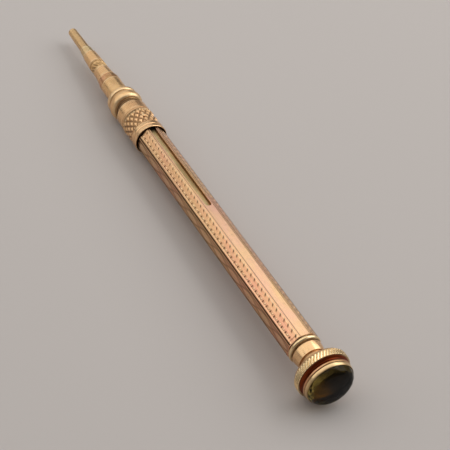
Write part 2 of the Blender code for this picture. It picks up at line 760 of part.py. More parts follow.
def build_milled_ring():
    """Disc with a coin edge of slanting teeth."""
    points = []
    for i in range(MILLED_TEETH * 2):
        angle = math.tau * i / (MILLED_TEETH * 2)
        radius = MILLED / 2 - MILLED_DEPTH * (i % 2)
        points.append((MILLED_FRONT, radius * math.cos(angle), radius * math.sin(angle)))
    made = new_object("milled_ring", plate_mesh("milled_ring", points), GOLD)
    thicken(made, MILLED_LENGTH)
    slant = made.modifiers.new("slant", "SIMPLE_DEFORM")
    slant.deform_method = "TWIST"
    slant.deform_axis = "X"
    slant.angle = math.tan(MILLED_SLANT) * MILLED_LENGTH / (MILLED / 2)
    rear = MILLED_REAR + STOP
    bore = turned_cutter("milled_bore", rear - FIT, MILLED_FRONT + OVERSHOOT, STEM / 2 + FIT, SMALL)
    cut(made, bore)
    return made


def build_cove_ring():
    """Hollow-edged disc between the milled ring and the stone's seat."""
    outer = [(COVE_REAR, SEAT / 2 - COVE_STEP)]
    waist = COVE_WAIST / 2
    middle = (COVE_REAR + COVE_TOP) / 2
    outer.append((middle, waist))
    for i in range(1, ARC + 1):
        share = i / ARC
        ease = 1 - math.cos(math.pi / 2 * share)
        outer.append((middle + (COVE_TOP - middle) * share, waist + (COVE_FRONT / 2 - waist) * ease))
    return turned_solid("cove_ring", outer, FINE, RED_GOLD)


def build_bezel():
    """Collar that closes over the stone's girdle."""
    bore = STONE / 2 + FIT
    rise = BEZEL_LENGTH / 2
    outer = [(BEZEL_REAR, BEZEL_EDGE / 2), (BEZEL_REAR + rise, BEZEL / 2), (BEZEL_TOP, BEZEL / 2)]
    return turned_ring("bezel", outer, [(BEZEL_TOP, bore), (BEZEL_REAR, bore)], FINE, GOLD)


def build_stone():
    """Faceted stone with a flat table."""
    outer = [(TABLE, STONE_TABLE / 2), (TABLE + STONE_BREAK_DEPTH, STONE_BREAK / 2)]
    outer += [(GIRDLE_REAR, STONE / 2), (GIRDLE_FRONT, STONE / 2), (STONE_BACK_STATION, STONE_BACK / 2)]
    return turned_solid("stone", outer, STONE_SIDES, SMOKY, 0.0, 0.05)


def body(name, pieces, parent=None):
    """An empty on the pencil's axis that carries a body's pieces."""
    made = bpy.data.objects.new(name, None)
    PENCIL.objects.link(made)
    made.parent = parent
    for piece in pieces:
        piece.parent = made
    return made


clear_scene()
PENCIL = new_collection("telescoping_pencil")
CUTTERS = new_collection("cutters")

barrel_pieces = [build_barrel_shell(), build_front_ferrule(), build_rear_bush()]
barrel = body("barrel_body", barrel_pieces + build_magazine())

carrier_bush = tube(
    "carrier_bush",
    CARRIER_BUSH_REAR,
    CARRIER_FRONT - FIT,
    CARRIER_BORE - FIT,
    BUSH_BORE,
    SMALL,
    DULL_BRASS,
)
thread_tube = tube(
    "thread_tube",
    THREAD_REAR,
    THREAD_FRONT,
    CARRIER_BORE - FIT,
    THREAD_BORE / 2,
    SMALL,
    DULL_BRASS,
)
ring_pieces = [build_slider_ring(), build_slide_key(), build_key_rivet(), build_drag_spring()]
slide = body("slide_body", ring_pieces + [build_carrier_tube(), carrier_bush, thread_tube], barrel)

retaining_ring = tube(
    "retaining_ring",
    RETAINER_REAR,
    RETAINER_REAR + RETAINER_LENGTH,
    RETAINER / 2,
    GUIDE_TUBE / 2 + FIT,
    SMALL,
    STEEL,
)
nose = body("nose_body", build_nose() + [build_guide_tube(), retaining_ring], slide)
feed = body("feed_body", build_feed(), nose)

collar = body("collar_body", [build_end_bead()], barrel)
seat_ring = tube("seat_ring", SEAT_REAR, SEAT_TOP, SEAT / 2, SEAT_BORE / 2, FINE, GOLD)
foil = turned_solid(
    "foil",
    [(FOIL_TOP - FOIL_LENGTH, SEAT_BORE / 2 - FIT), (FOIL_TOP, SEAT_BORE / 2 - FIT)],
    PLAIN,
    FOIL_COLOUR,
)
cap_pieces = [build_cap_neck(), build_cap_stem(), build_milled_ring(), build_cove_ring()]
cap = body("cap_body", cap_pieces + [seat_ring, build_bezel(), build_stone(), foil], collar)

barrel.location = SEAT_POINT
for station in (barrel, slide, nose, feed, collar, cap):
    station.empty_display_size = STONE
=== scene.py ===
# Dresses the packed telescoping pencil: engraved barrel, knurled slider, nose, seal cap and stage.
import json
import math

import bmesh
import bpy
import numpy as np
from bpy.props import FloatProperty, FloatVectorProperty, IntProperty, PointerProperty
from mathutils import Matrix, Vector


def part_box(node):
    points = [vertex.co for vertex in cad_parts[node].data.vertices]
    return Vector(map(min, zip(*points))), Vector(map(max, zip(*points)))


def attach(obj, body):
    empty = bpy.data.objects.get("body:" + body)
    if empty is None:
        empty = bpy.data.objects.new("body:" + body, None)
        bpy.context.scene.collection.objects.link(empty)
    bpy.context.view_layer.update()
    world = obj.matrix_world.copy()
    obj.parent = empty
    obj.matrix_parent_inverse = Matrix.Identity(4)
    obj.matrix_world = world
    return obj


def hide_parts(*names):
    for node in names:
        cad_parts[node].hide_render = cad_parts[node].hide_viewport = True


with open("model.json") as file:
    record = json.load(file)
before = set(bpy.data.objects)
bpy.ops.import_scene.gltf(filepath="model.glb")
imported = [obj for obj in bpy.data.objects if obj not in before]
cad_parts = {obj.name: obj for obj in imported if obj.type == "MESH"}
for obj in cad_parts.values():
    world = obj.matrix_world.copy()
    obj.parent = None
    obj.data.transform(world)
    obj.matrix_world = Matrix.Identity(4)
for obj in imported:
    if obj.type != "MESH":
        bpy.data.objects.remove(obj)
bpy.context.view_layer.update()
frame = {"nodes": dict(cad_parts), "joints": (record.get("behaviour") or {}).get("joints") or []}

bl_info = {
    "name": "Telescoping pencil",
    "version": (1, 0, 0),
    "blender": (4, 5, 0),
    "location": "View3D > Sidebar > Pencil",
    "description": "Engraved gold slide pencil with a knurled slider, a twist nose and a seal cap",
    "category": "Object",
}

MM = 0.001
TURN = math.tau


def span(node):
    """Rear and front end of a node along the pencil."""
    low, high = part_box(node)
    return low.x, high.x


def reach(node):
    """A node's largest radius about the pencil's axis."""
    low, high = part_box(node)
    return (high.y - low.y) / 2


AXIS = (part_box("nose_sleeve")[0].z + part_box("nose_sleeve")[1].z) / 2
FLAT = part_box("barrel_shell")[1].z - AXIS
FACETS = 8


def length(name, description, millimetres):
    """A size, given in millimetres and kept in metres."""
    metres = millimetres * MM
    return FloatProperty(
        name=name, description=description, default=metres, min=0, precision=6, unit="LENGTH"
    )


def degrees(name, description, default):
    """An angle, given in degrees."""
    radians = math.radians(default)
    return FloatProperty(name=name, description=description, default=radians, subtype="ANGLE")


def number_of(name, description, default):
    """A whole number of like things."""
    return IntProperty(name=name, description=description, default=default, min=1)


def colour(name, description, default):
    """A colour."""
    return FloatVectorProperty(
        name=name, description=description, default=default, size=3, min=0, max=1, subtype="COLOR"
    )


def share(name, description, default):
    """A number from nothing to one."""
    return FloatProperty(
        name=name, description=description, default=default, min=0, max=1, subtype="FACTOR"
    )


def watts(name, description, default):
    """A lamp's power."""
    return FloatProperty(name=name, description=description, default=default, min=0, unit="POWER")


class PencilEngraving(bpy.types.PropertyGroup):
    """Sizes of the barrel's engraving."""

    panel_half: length("Panel half width", "Half the width of a facet's engraved panel", 1.14)
    panel_end: length("Panel end gap", "Bare metal left at the barrel's ends", 0.12)
    panel_sink: length("Panel sink", "How far a panel's underside lies under the facet", 0.05)
    ground: length("Ground", "Height of the cut ground over the facet", 0.006)
    field: length("Field", "Height of the uncut metal over the facet", 0.04)
    fine_row: length("Fine row", "Grid step along the beaded panels", 0.085)
    wave_row: length("Wave row", "Grid step along the wavy panels", 0.13)
    plain_row: length("Plain row", "Grid step along the plain panel", 0.6)
    column: length("Column", "Grid step across the panels", 0.062)
    bead_pitch: length("Bead pitch", "From one bead to the next", 1.36)
    bead_radius: length("Bead radius", "Radius of a bead", 0.27)
    bead_rise: length("Bead rise", "Height of a bead over the ground", 0.10)
    bead_line: length("Bead line", "Where the row of beads lies across its panel", 0.2)
    nick_line: length("Nick line", "Where the row of nicks lies across its panel", 0.80)
    nick_half: length("Nick half length", "Half the length of a nick across the panel", 0.33)
    nick_width: length("Nick width", "Half the width of a nick", 0.2)
    nick_slant: degrees("Nick slant", "Slant of the nicks", 38)
    ridge_line: length("Ridge line", "Where the bright ridge lies beside the beads", 0.64)
    ridge_half: length("Ridge half width", "Half the width of the ridge", 0.1)
    notch_line: length("Notch line", "Where the notches between the beads lie", 0.25)
    notch_half: length("Notch half length", "Half the length of a notch across the panel", 0.26)
    notch_width: length("Notch width", "Half the width of a notch", 0.22)
    border: length("Border", "Where the sunk border beside the ridge starts", 0.80)
    frame_line: length("Frame line", "Where the thin frame line lies", 0.93)
    frame_half: length("Frame half width", "Half the width of the frame line", 0.07)
    wave_length: length("Wave length", "Length of one wave", 11.6)
    wave_swing: length("Wave swing", "How far a wave swings across its panel", 0.74)
    wave_half: length("Wave half width", "Half the width of a wave's cut", 0.243)
    wave_lines: number_of("Wave lines", "Fine cuts beside each wave", 3)
    wave_step: length("Wave step", "From one fine cut to the next", 0.17)


class PencilTurning(bpy.types.PropertyGroup):
    """Sizes of the turned pieces, where the packed boxes don't give them."""

    segments: number_of("Segments", "Segments round a turned piece", 120)
    edge: length("Edge", "Rounding of turned edges", 0.05)
    plug: length("Plug", "Length of the ferrule's plug", 1.73)
    ferrule_line: length("Ferrule line", "Length of the line between bead and lip", 0.3)
    flange: length("Flange", "Radius of the ferrule's flange", 2.9)
    flange_length: length("Flange length", "Length of the ferrule's flange", 0.3)
    cove: length("Cove", "Radius at the bottom of the ferrule's cove", 2.65)
    cove_length: length("Cove length", "Length of the ferrule's cove", 1.1)
    bead_length: length("Bead length", "Length of the ferrule's bead", 2.3)
    bead: length("Bead", "Radius of the ferrule's bead", 3.55)
    lip: length("Lip", "Radius of the ferrule's lip", 3.32)
    lip_length: length("Lip length", "Length of the ferrule's lip", 1.1)
    ring_length: length("Ring length", "Length of the slider ring", 9.9)
    knurl_count: number_of("Knurl count", "Diamonds round the slider ring", 16)
    knurl_pitch: length("Knurl pitch", "From one diamond to the next along the ring", 1.87)
    knurl_depth: length("Knurl depth", "Depth of the knurl's cuts", 0.2)
    knurl_row: length("Knurl row", "Grid step of the knurl", 0.075)
    rim_length: length("Rim length", "Length of the slider's rear rim", 2.2)
    band_length: length("Band length", "Length of the slider's knurl", 4.3)
    band: length("Band", "Radius of the slider's knurl", 3.48)
    collar: length("Collar", "Radius of the slider's front collar", 3.35)
    ring_bore: length("Ring bore", "Radius of the slider's bore", 3.21)
    ring_mouth: length("Ring mouth", "Radius of the bore's flared rear end", 3.36)
    mouth_length: length("Mouth length", "Length of the flare", 0.8)
    line: length("Line", "Width of a turned line", 0.22)
    line_depth: length("Line depth", "Depth of a turned line", 0.06)
    line_pitch: length("Line pitch", "From one turned line to the next", 0.6)
    sleeve: length("Sleeve", "Radius of the nose's sleeve and band", 2.3)
    band_low: length("Band low", "Radius of the band's front", 2.1)
    cone_rear: length("Cone rear", "Radius at the rear of the cones", 2.05)
    cone_middle: length("Cone middle", "Radius where the notched ring parts the cones", 1.75)
    cone_front: length("Cone front", "Radius at the front of the cones", 1.55)
    step_rear: length("Step rear", "Radius at the rear of the step collar", 1.45)
    step_front: length("Step front", "Radius at the front of the step collar", 1.3)
    tube_rear: length("Tube rear", "Radius at the root of the lead tube", 1.15)
    tube_tip: length("Tube tip", "Radius at the tip of the lead tube", 1.0)
    neck: length("Neck", "Length of the cap's neck", 4.75)
    disc: length("Disc", "Radius of the bevelled disc at the neck's rear", 4.95)
    milled: length("Milled", "Length of the milled ring", 1.35)
    hollow: length("Hollow", "Length of the red cove", 0.75)
    seat: length("Seat", "Length of the stone's seat", 0.48)
    bezel: length("Bezel", "Length of the bezel", 0.78)
    fit: length("Fit", "Gap between fixed rings", 0.03)
    tooth_count: number_of("Teeth", "Teeth of the milled ring", 52)
    tooth_depth: length("Tooth depth", "Depth of the milled ring's teeth", 0.24)
    tooth_slant: degrees("Tooth slant", "Slant of the milled teeth", 33.7)
    notch_count: number_of("Notches", "Notches of the notched ring", 14)
    notch_depth: length("Notch depth", "Depth of the notches", 0.18)
    notch_slant: degrees("Notch slant", "Slant of the notches", 32)


class PencilFinish(bpy.types.PropertyGroup):
    """Colours of the worn metals and the stone."""

    gold: colour("Gold", "Worn gold of the barrel, the slider ring and the neck", (0.87, 0.51, 0.255))
    plain: colour("Plain gold", "Paler gold of the bare facet", (0.90, 0.565, 0.315))
    pink: colour("Pink", "Pink patches on the bare facet", (0.90, 0.51, 0.37))
    blush: colour("Blush", "Rosy patches in the gold", (0.88, 0.41, 0.265))
    lemon: colour("Lemon", "Yellow patches in the gold", (0.93, 0.60, 0.29))
    pale: colour("Pale", "Metal rubbed bright along the edges", (0.97, 0.74, 0.44))
    lathe: colour("Turned gold", "Yellower gold of the turned pieces", (0.86, 0.53, 0.245))
    milled: colour(
        "Milled gold", "Pale gold of the milled ring, the end bead and the bezel", (0.95, 0.72, 0.38)
    )
    grime: colour("Grime", "Dirt in the cuts", (0.17, 0.085, 0.036))
    # Soot and painted shade: the black that the deepest cuts and hollows turn to.
    soot_and_shade: colour("Soot", "Black in the deepest cuts", (0.022, 0.012, 0.006))
    rose: colour("Rose gold", "Reddish band of the nose and seat of the stone", (0.58, 0.335, 0.14))
    tube: colour("Tube gold", "Lead tube of the nose", (0.80, 0.53, 0.26))
    notch: colour("Notch gold", "Notched ring of the nose", (0.68, 0.43, 0.19))
    olive: colour("Green gold", "Greenish step collar", (0.66, 0.52, 0.26))
    brass: colour("Dull brass", "Hidden tubes", (0.40, 0.28, 0.13))
    red: colour("Red gold", "Dark cove behind the milled ring", (0.27, 0.045, 0.010))
    steel: colour("Steel", "Spring, rod and follower", (0.46, 0.46, 0.48))
    graphite: colour("Graphite", "Leads", (0.05, 0.05, 0.055))
    foil: colour("Foil", "Foil behind the stone", (0.62, 0.46, 0.11))
    stone: colour("Stone", "Smoky stone", (0.05, 0.034, 0.008))
    # The stone's pale side is the colour of a painted glint.
    stone_glint: colour("Stone's pale side", "Stone where it pales to olive", (0.90, 0.66, 0.16))
    roughness: share("Roughness", "Roughness of the rubbed gold", 0.22)


class PencilStage(bpy.types.PropertyGroup):
    """Camera, floor and light."""

    azimuth: degrees("Azimuth", "Camera's turn round the pencil", 238.31)
    elevation: degrees("Elevation", "Camera's height", 40.38)
    roll: degrees("Roll", "Camera's roll", -7.05)
    distance: length("Distance", "From the camera to its aim", 233.85)
    aim: FloatVectorProperty(
        name="Aim",
        description="Point at the picture's middle",
        default=(-15.22 * MM, -1.444 * MM, 6.03 * MM),
        subtype="TRANSLATION",
        precision=6,
    )
    lens: FloatProperty(
        name="Lens", description="Focal length on a 36 mm sensor", default=99.2, unit="CAMERA"
    )
    floor: colour("Floor", "Pale floor", (0.545, 0.50, 0.47))
    floor_size: length("Floor size", "Side of the floor", 4000)
    sky: share("Sky", "Strength of the even light", 0.2)
    window: watts("Window", "Power of the soft lamp on the right", 3.1)
    ceiling: watts("Ceiling", "Power of the panel overhead", 2.6)
    front: watts("Front", "Power of the panel beyond the tip", 1.3)
    side: watts("Side", "Power of the low panel on the left", 0.5)


# Meshes


def add_piece(name, mesh, body, material, stands_for=()):
    """Put a mesh into the scene as a piece that rides on a body."""
    piece = bpy.data.objects.new(name, mesh)
    bpy.context.scene.collection.objects.link(piece)
    mesh.materials.append(material)
    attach(piece, body)
    if stands_for:
        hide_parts(*stands_for)


def add_turned(name, node, body, slot, material, outer, bore, **work):
    """Put a turned ring into the scene in the place of a packed node."""
    add_piece(name, turned(name, outer, bore, **work), body, material, [node])


def dress(node, material):
    """Give a packed piece that stays in the scene its material."""
    mesh = frame["nodes"][node].data
    mesh.materials.clear()
    mesh.materials.append(material)
    return mesh


def smooth(mesh, angle=math.radians(38)):
    """Shade smoothly, with sharp edges kept sharp."""
    mesh.shade_smooth()
    mesh.set_sharp_from_angle(angle=angle)


def weathered(mesh, dirt, wear):
    """Shade a mesh smoothly and keep each point's dirt with painted shade, and its wear, for the material
    to read.
    """
    for name, values in (("dirt", dirt), ("wear", wear)):
        layer = mesh.attributes.new(name, "FLOAT", "POINT")
        layer.data.foreach_set("value", np.ascontiguousarray(values, np.float32).ravel())
    smooth(mesh)
    return mesh


def finished(work, name):
    """The mesh of a finished bmesh."""
    mesh = bpy.data.meshes.new(name)
    work.to_mesh(mesh)
    work.free()
    return mesh


def eased(points, by, steps=4):
    """A profile with its sharp corners rounded by short curves."""
    sharp = math.radians(20)
    most = 0.45
    made = [points[0]]
    for before, here, after in zip(points, points[1:], points[2:]):
        a = Vector(before) - Vector(here)
        b = Vector(after) - Vector(here)
        if a.length == 0 or b.length == 0 or math.pi - a.angle(b) < sharp:
            made.append(here)
            continue
        cut = min(by, a.length * most, b.length * most)
        start = Vector(here) + a.normalized() * cut
        end = Vector(here) + b.normalized() * cut
        for i in range(steps + 1):
            t = i / steps
            bend = start * (1 - t) ** 2 + Vector(here) * 2 * t * (1 - t) + end * t * t
            made.append(tuple(bend))
    made.append(points[-1])
    return made


def divided(points, step):
    """A profile with its long stretches cut into short ones."""
    made = [points[0]]
    for a, b in zip(points, points[1:]):
        count = max(1, round(math.dist(a, b) / step))
        for i in range(1, count + 1):
            made.append((a[0] + (b[0] - a[0]) * i / count, a[1] + (b[1] - a[1]) * i / count))
    return made


def bulge(rear, front, radius, rise, steps=12):
    """A half-round swelling between two stations, or a hollow where rise is negative."""
    middle = (rear + front) / 2
    half = (front - rear) / 2
    made = []
    for i in range(1, steps):
        angle = math.pi * i / steps
        made.append((middle - half * math.cos(angle), radius + rise * math.sin(angle)))
    return made


def steady(t):
    """The share of the way itself."""
    return t


def fast_first(t):
    """A share of the way that starts steep and ends level."""
    return math.sin(math.pi / 2 * t)


def slow_first(t):
    """A share of the way that starts level and ends steep."""
    return 1 - math.cos(math.pi / 2 * t)


def curve(start, end, steps, along, out):
    """Points from start to end, whose station and radius go by a share of the way each."""
    made = []
    for i in range(1, steps + 1):
        t = i / steps
        made.append((start[0] + (end[0] - start[0]) * along(t), start[1] + (end[1] - start[1]) * out(t)))
    return made


def chamfered(rear, front, radius, back, tip):
    """Profile of a plain ring with its rear and front edges cut off."""
    return [(rear, radius - back), (rear + back, radius), (front - tip, radius), (front, radius - tip)]


def grime_shade_and_wear(stations, radii):
    """Where a turned profile holds dirt and painted shade in its hollows, and where hands rub it."""
    window = 0.45 * MM
    deep = 0.22 * MM
    proud = 0.05 * MM
    near = np.abs(stations[:, None] - stations[None, :]) < window
    around = np.where(near, radii[None, :], 0)
    mean = around.sum(1) / near.sum(1)
    return np.clip((around.max(1) - radii) / deep, 0, 1), np.clip((radii - mean) / proud, 0, 1)


def turned(name, outer, bore, relief=None, step=None, segments=None, edge=None, mouth=(), grime=1, rub=1):
    """A turned ring with rounded edges, its outside cut by relief(station, angle).

    Mouth adds points along a bore that is open at the rear. Grime and rub scale the dirt with painted shade
    that the profile gathers in its hollows, and the wear on its crests.
    """
    size = bpy.context.scene.pencil_turning
    segments = segments or size.segments
    foot = [] if mouth else [(outer[0][0], bore)]
    outside = eased([*foot, *outer, (outer[-1][0], bore)], edge or size.edge)
    if step:
        outside = divided(outside, step)
    inside = [(outside[-1][0], bore), *(mouth or [(outside[0][0], bore)])]
    dirt, wear = grime_shade_and_wear(*np.array(outside).T)
    # The bore's inside is painted fully dark as shade.
    dirt = np.append(dirt * grime, np.ones(len(inside)))
    wear = np.append(wear * rub, np.zeros(len(inside)))
    stations, radii = np.array([*outside, *inside]).T
    x, r, dirt, wear = (np.repeat(row[:, None], segments, 1) for row in (stations, radii, dirt, wear))
    angle = np.arange(segments) * TURN / segments
    if relief:
        skin = slice(len(outside))
        height, more_dirt_and_shade, more_wear = relief(x[skin], np.broadcast_to(angle, x[skin].shape))
        r[skin] += height
        dirt[skin] = np.clip(dirt[skin] + more_dirt_and_shade, 0, 1)
        wear[skin] = np.clip(wear[skin] + more_wear, 0, 1)
    points = np.stack([x, r * np.sin(angle), AXIS + r * np.cos(angle)], -1).reshape(-1, 3)
    rows, columns = x.shape
    i, k = np.indices(x.shape)
    below = (i + 1) % rows
    beside = (k + 1) % columns
    corners = (i * columns + k, below * columns + k, below * columns + beside, i * columns + beside)
    mesh = bpy.data.meshes.new(name)
    mesh.from_pydata(points.tolist(), [], np.stack(corners, -1).reshape(-1, 4).tolist())
    return weathered(mesh, dirt, wear)


def mirrored(facet):
    """Whether a facet lies on the side where the engraving runs the other way."""
    return facet > FACETS // 2


def panel_mesh(name, facet, row, relief):
    """A thin closed slab on one facet, its top shaped by relief(along, across)."""
    cut = bpy.context.scene.pencil_engraving
    ring_shadow_half = 0.55 * MM
    ring_shadow_most = 0.5
    rear, front = span("barrel_shell")
    rows = round((front - rear) / row)
    columns = round(2 * cut.panel_half / cut.column)
    u = np.linspace(rear + cut.panel_end, front - cut.panel_end, rows)
    v = np.linspace(-cut.panel_half, cut.panel_half, columns)
    along, across = np.meshgrid(u - rear, v, indexing="ij")
    height, dirt, wear = relief(along, -across if mirrored(facet) else across)
    # Painted shadow of the slider ring's rear rim: a dark band on the panels that stays behind as a grime
    # line when the ring slides.
    ring_shadow_grime = hump(along - (span("slider_ring")[0] - rear), ring_shadow_half) * ring_shadow_most
    dirt = np.clip(dirt + ring_shadow_grime, 0, 1)
    wear = wear * (1 - ring_shadow_grime)
    turn = facet * TURN / FACETS
    out = np.array([0, math.sin(turn), math.cos(turn)])
    side = np.array([0, math.cos(turn), -math.sin(turn)])
    line = np.array([0, 0, AXIS]) + u[:, None, None] * np.array([1.0, 0, 0])
    top = line + v[None, :, None] * side + (FLAT + height)[..., None] * out
    low = line + v[[0, -1]][None, :, None] * side + (FLAT - cut.panel_sink) * out
    points = np.concatenate([top.reshape(-1, 3), low.reshape(-1, 3)])
    first = rows * columns
    i, k = np.indices((rows - 1, columns - 1))
    a = i * columns + k
    faces = np.stack([a, a + columns, a + columns + 1, a + 1], -1).reshape(-1, 4).tolist()
    for here in range(rows - 1):
        left = first + 2 * here
        near = here * columns
        far = near + columns - 1
        faces.append((left, left + 2, near + columns, near))
        faces.append((far, far + columns, left + 3, left + 1))
        faces.append((left + 1, left + 3, left + 2, left))
    last = (rows - 1) * columns
    end = first + 2 * (rows - 1)
    faces.append([*range(columns), first + 1, first])
    faces.append([*range(last + columns - 1, last - 1, -1), end, end + 1])
    mesh = bpy.data.meshes.new(name)
    mesh.from_pydata(points.tolist(), [], faces)
    # The slab's sides and underside are painted fully dark as shade.
    return weathered(mesh, np.append(dirt, np.ones(2 * rows)), np.append(wear, np.zeros(2 * rows)))


# Materials

# Stretch of the grain of smudges and scratches: none, along the barrel, round turned pieces, round rings
EVEN = (1, 1, 1)
ALONG = (0.06, 1, 1)
LATHED = (1, 0.08, 0.08)
RINGED = (1, 0.1, 0.1)


class Finish:
    """A material's node tree, with short ways to add to it."""

    def __init__(self, name):
        self.material = bpy.data.materials.new(name)
        self.material.use_nodes = True
        self.tree = self.material.node_tree
        self.shader = self.tree.nodes["Principled BSDF"]

    def feed(self, socket, value):
        """Link a socket to another one, or set it to a plain value."""
        if isinstance(value, bpy.types.NodeSocket):
            self.tree.links.new(value, socket)
        elif socket.type == "RGBA":
            socket.default_value = (*value, 1)
        else:
            socket.default_value = value

    def add(self, kind, inputs=None, **settings):
        """A new node with its settings and what goes into it."""
        node = self.tree.nodes.new("ShaderNode" + kind)
        for key, value in settings.items():
            setattr(node, key, value)
        for key, value in (inputs or {}).items():
            self.feed(node.inputs[key], value)
        return node

    def place(self, stretch=EVEN):
        """Object coordinates, stretched."""
        where = self.add("TexCoord").outputs["Object"]
        return self.add("Mapping", {"Scale": stretch, "Vector": where}).outputs["Vector"]

    def noise(self, scale, detail=4.0, stretch=EVEN, rough=0.55):
        inputs = {"Scale": scale, "Detail": detail, "Roughness": rough, "Vector": self.place(stretch)}
        return self.add("TexNoise", inputs).outputs["Fac"]

    def between(self, value, low, high, to_low=0.0, to_high=1.0):
        """Map a range of values to another, clamped."""
        inputs = {"Value": value, "From Min": low, "From Max": high, "To Min": to_low, "To Max": to_high}
        return self.add("MapRange", inputs).outputs["Result"]

    def math(self, operation, *values):
        """A sum or product, clamped."""
        node = self.add("Math", dict(enumerate(values)), operation=operation, use_clamp=True)
        return node.outputs["Value"]

    def blend(self, factor, a, b):
        """Mix two colours, each a socket or a plain colour."""
        node = self.add("Mix", {"Factor": factor}, data_type="RGBA", clamp_factor=True)
        self.feed(node.inputs[6], a)
        self.feed(node.inputs[7], b)
        return node.outputs[2]

    def mark(self, name):
        """What a mesh keeps under a name for each point."""
        return self.add("Attribute", attribute_name=name).outputs["Fac"]

    def set(self, **values):
        """Feed the shader's own sockets."""
        for key, value in values.items():
            self.feed(self.shader.inputs[key.replace("_", " ")], value)

    def bump(self, height, strength, distance):
        node = self.add("Bump", {"Strength": strength, "Distance": distance, "Height": height})
        self.set(Normal=node.outputs["Normal"])


def tone(name, times=1.0):
    """A colour of the finish, darkened or paled."""
    return tuple(c * times for c in getattr(bpy.context.scene.pencil_finish, name))


def worn_metal(made, base, tint, duller, patch, grain=EVEN, grime="grime", patina=0.22, dirt_and_shade_mask=None):
    """Worn precious metal: patches, freckles, dirt and soot with painted shade in the cuts and hollows,
    bright rubbed edges.
    """
    roughness = bpy.context.scene.pencil_finish.roughness + duller
    patches = made.between(made.noise(170, 5.0, (0.5, 1, 1)), 0.40, 0.60, 0.0, patch)
    metal = made.blend(patches, tone(base), tint)
    yellow = made.between(made.noise(260, 4.0, (0.4, 1, 1)), 0.50, 0.68, 0.0, patch * 0.8)
    metal = made.blend(yellow, metal, tone("lemon"))
    freckles = made.noise(1500, 6.0, (0.7, 1, 1), 0.7)
    spots = made.between(freckles, 0.58, 0.72, 0.0, 0.5)
    metal = made.blend(spots, metal, tone(base, 0.5))
    paler = made.between(freckles, 0.30, 0.50, patina, 0.0)
    metal = made.blend(paler, metal, tone("pale"))
    dirt_and_shade_mask = dirt_and_shade_mask or made.mark("dirt")
    dirt_and_shade_amount = made.math("MULTIPLY", dirt_and_shade_mask, made.between(freckles, 0.25, 0.65, 1.0, 0.7))
    metal = made.blend(dirt_and_shade_amount, metal, tone(grime))
    # The deepest hollows turn black, soot and painted shade together.
    soot_and_shade_amount = made.between(dirt_and_shade_mask, 0.62, 0.95, 0.0, 0.85)
    metal = made.blend(soot_and_shade_amount, metal, tone("soot_and_shade"))
    rubbed = made.math("MULTIPLY", made.mark("wear"), made.between(freckles, 0.3, 0.6, 0.75, 0.35))
    metal = made.blend(rubbed, metal, tone("pale"))
    smudges = made.noise(420, 3.0, grain)
    dull = made.between(smudges, 0.3, 0.7, roughness - 0.07, roughness + 0.10)
    rough = made.math("MULTIPLY_ADD", dirt_and_shade_amount, 0.3, dull)
    made.set(Base_Color=metal, Metallic=1.0, Roughness=rough)
    scratches = made.noise(5200, 3.0, grain, 0.6)
    made.bump(scratches, 0.10, 0.00004)
    return made.material


def gold_finish():
    return worn_metal(Finish("worn_gold"), "gold", tone("blush"), 0, 0.8, ALONG)


def plain_finish():
    """Paler gold of the bare facet."""
    return worn_metal(Finish("plain_gold"), "plain", tone("pink"), -0.02, 0.9, ALONG)


def shell_finish():
    """Barrel gold with painted shade on the slot's walls and in the bore."""
    made = Finish("barrel_gold")
    place = made.add("SeparateXYZ", {"Vector": made.place((0, 1, 1))}).outputs
    lift = made.add("Math", {0: place["Z"], 1: AXIS}, operation="SUBTRACT").outputs["Value"]
    spoke = made.add("CombineXYZ", {"Y": place["Y"], "Z": lift}).outputs["Vector"]
    radius = made.add("VectorMath", {0: spoke}, operation="LENGTH").outputs["Value"]
    # Painted shade below the facets' level, fading out just under it.
    shade_full_to, shade_gone_from = FLAT - 0.08 * MM, FLAT - 0.03 * MM
    recess_shade = made.between(radius, shade_full_to, shade_gone_from, 0.7, 0.0)
    return worn_metal(made, "gold", tone("blush"), 0, 0.8, ALONG, dirt_and_shade_mask=recess_shade)


def turned_gold_finish():
    return worn_metal(Finish("turned_gold"), "lathe", tone("gold"), 0.06, 0.6, LATHED)


def slider_finish():
    """Rosy gold of the slider ring and the neck."""
    return worn_metal(Finish("slider_gold"), "gold", tone("lathe"), 0.05, 0.7, LATHED)


def milled_gold_finish():
    return worn_metal(Finish("milled_gold"), "milled", tone("lathe"), -0.02, 0.6, LATHED)


def rose_finish():
    return worn_metal(Finish("rose_gold"), "rose", tone("blush"), 0.03, 0.5, RINGED)


def tube_finish():
    """Paler gold of the lead tube."""
    return worn_metal(Finish("tube_gold"), "tube", tone("rose"), 0.03, 0.4, RINGED)


def notch_finish():
    """Dull gold of the notched ring."""
    return worn_metal(Finish("notch_gold"), "notch", tone("lathe"), 0.05, 0.4, RINGED)


def olive_finish():
    return worn_metal(Finish("green_gold"), "olive", tone("gold"), 0.05, 0.4, RINGED)


def brass_finish():
    return worn_metal(Finish("dull_brass"), "brass", tone("olive"), 0.16, 0.5)


def red_finish():
    return worn_metal(Finish("red_gold"), "red", tone("red"), 0, 0.0, RINGED, "soot_and_shade", 0.02)


def steel_finish():
    return worn_metal(Finish("worn_steel"), "steel", tone("steel", 1.25), 0.08, 0.4, (0.1, 1, 1))


def foil_finish():
    made = Finish("crinkled_foil")
    crumple = made.noise(900, 6.0)
    made.set(Base_Color=made.blend(made.between(crumple, 0.35, 0.65), tone("foil", 0.5), tone("foil")))
    made.set(Metallic=1.0, Roughness=made.between(crumple, 0.3, 0.7, 0.12, 0.22))
    made.bump(crumple, 0.15, 0.0002)
    return made.material


def graphite_finish():
    made = Finish("graphite")
    grain = made.noise(3500, 5.0, (0.2, 1, 1))
    made.set(Base_Color=made.blend(made.between(grain, 0.4, 0.7), tone("graphite"), tone("graphite", 2.4)))
    made.set(Metallic=0.35, Roughness=made.between(grain, 0.3, 0.7, 0.38, 0.6))
    made.bump(grain, 0.2, 0.00003)
    return made.material


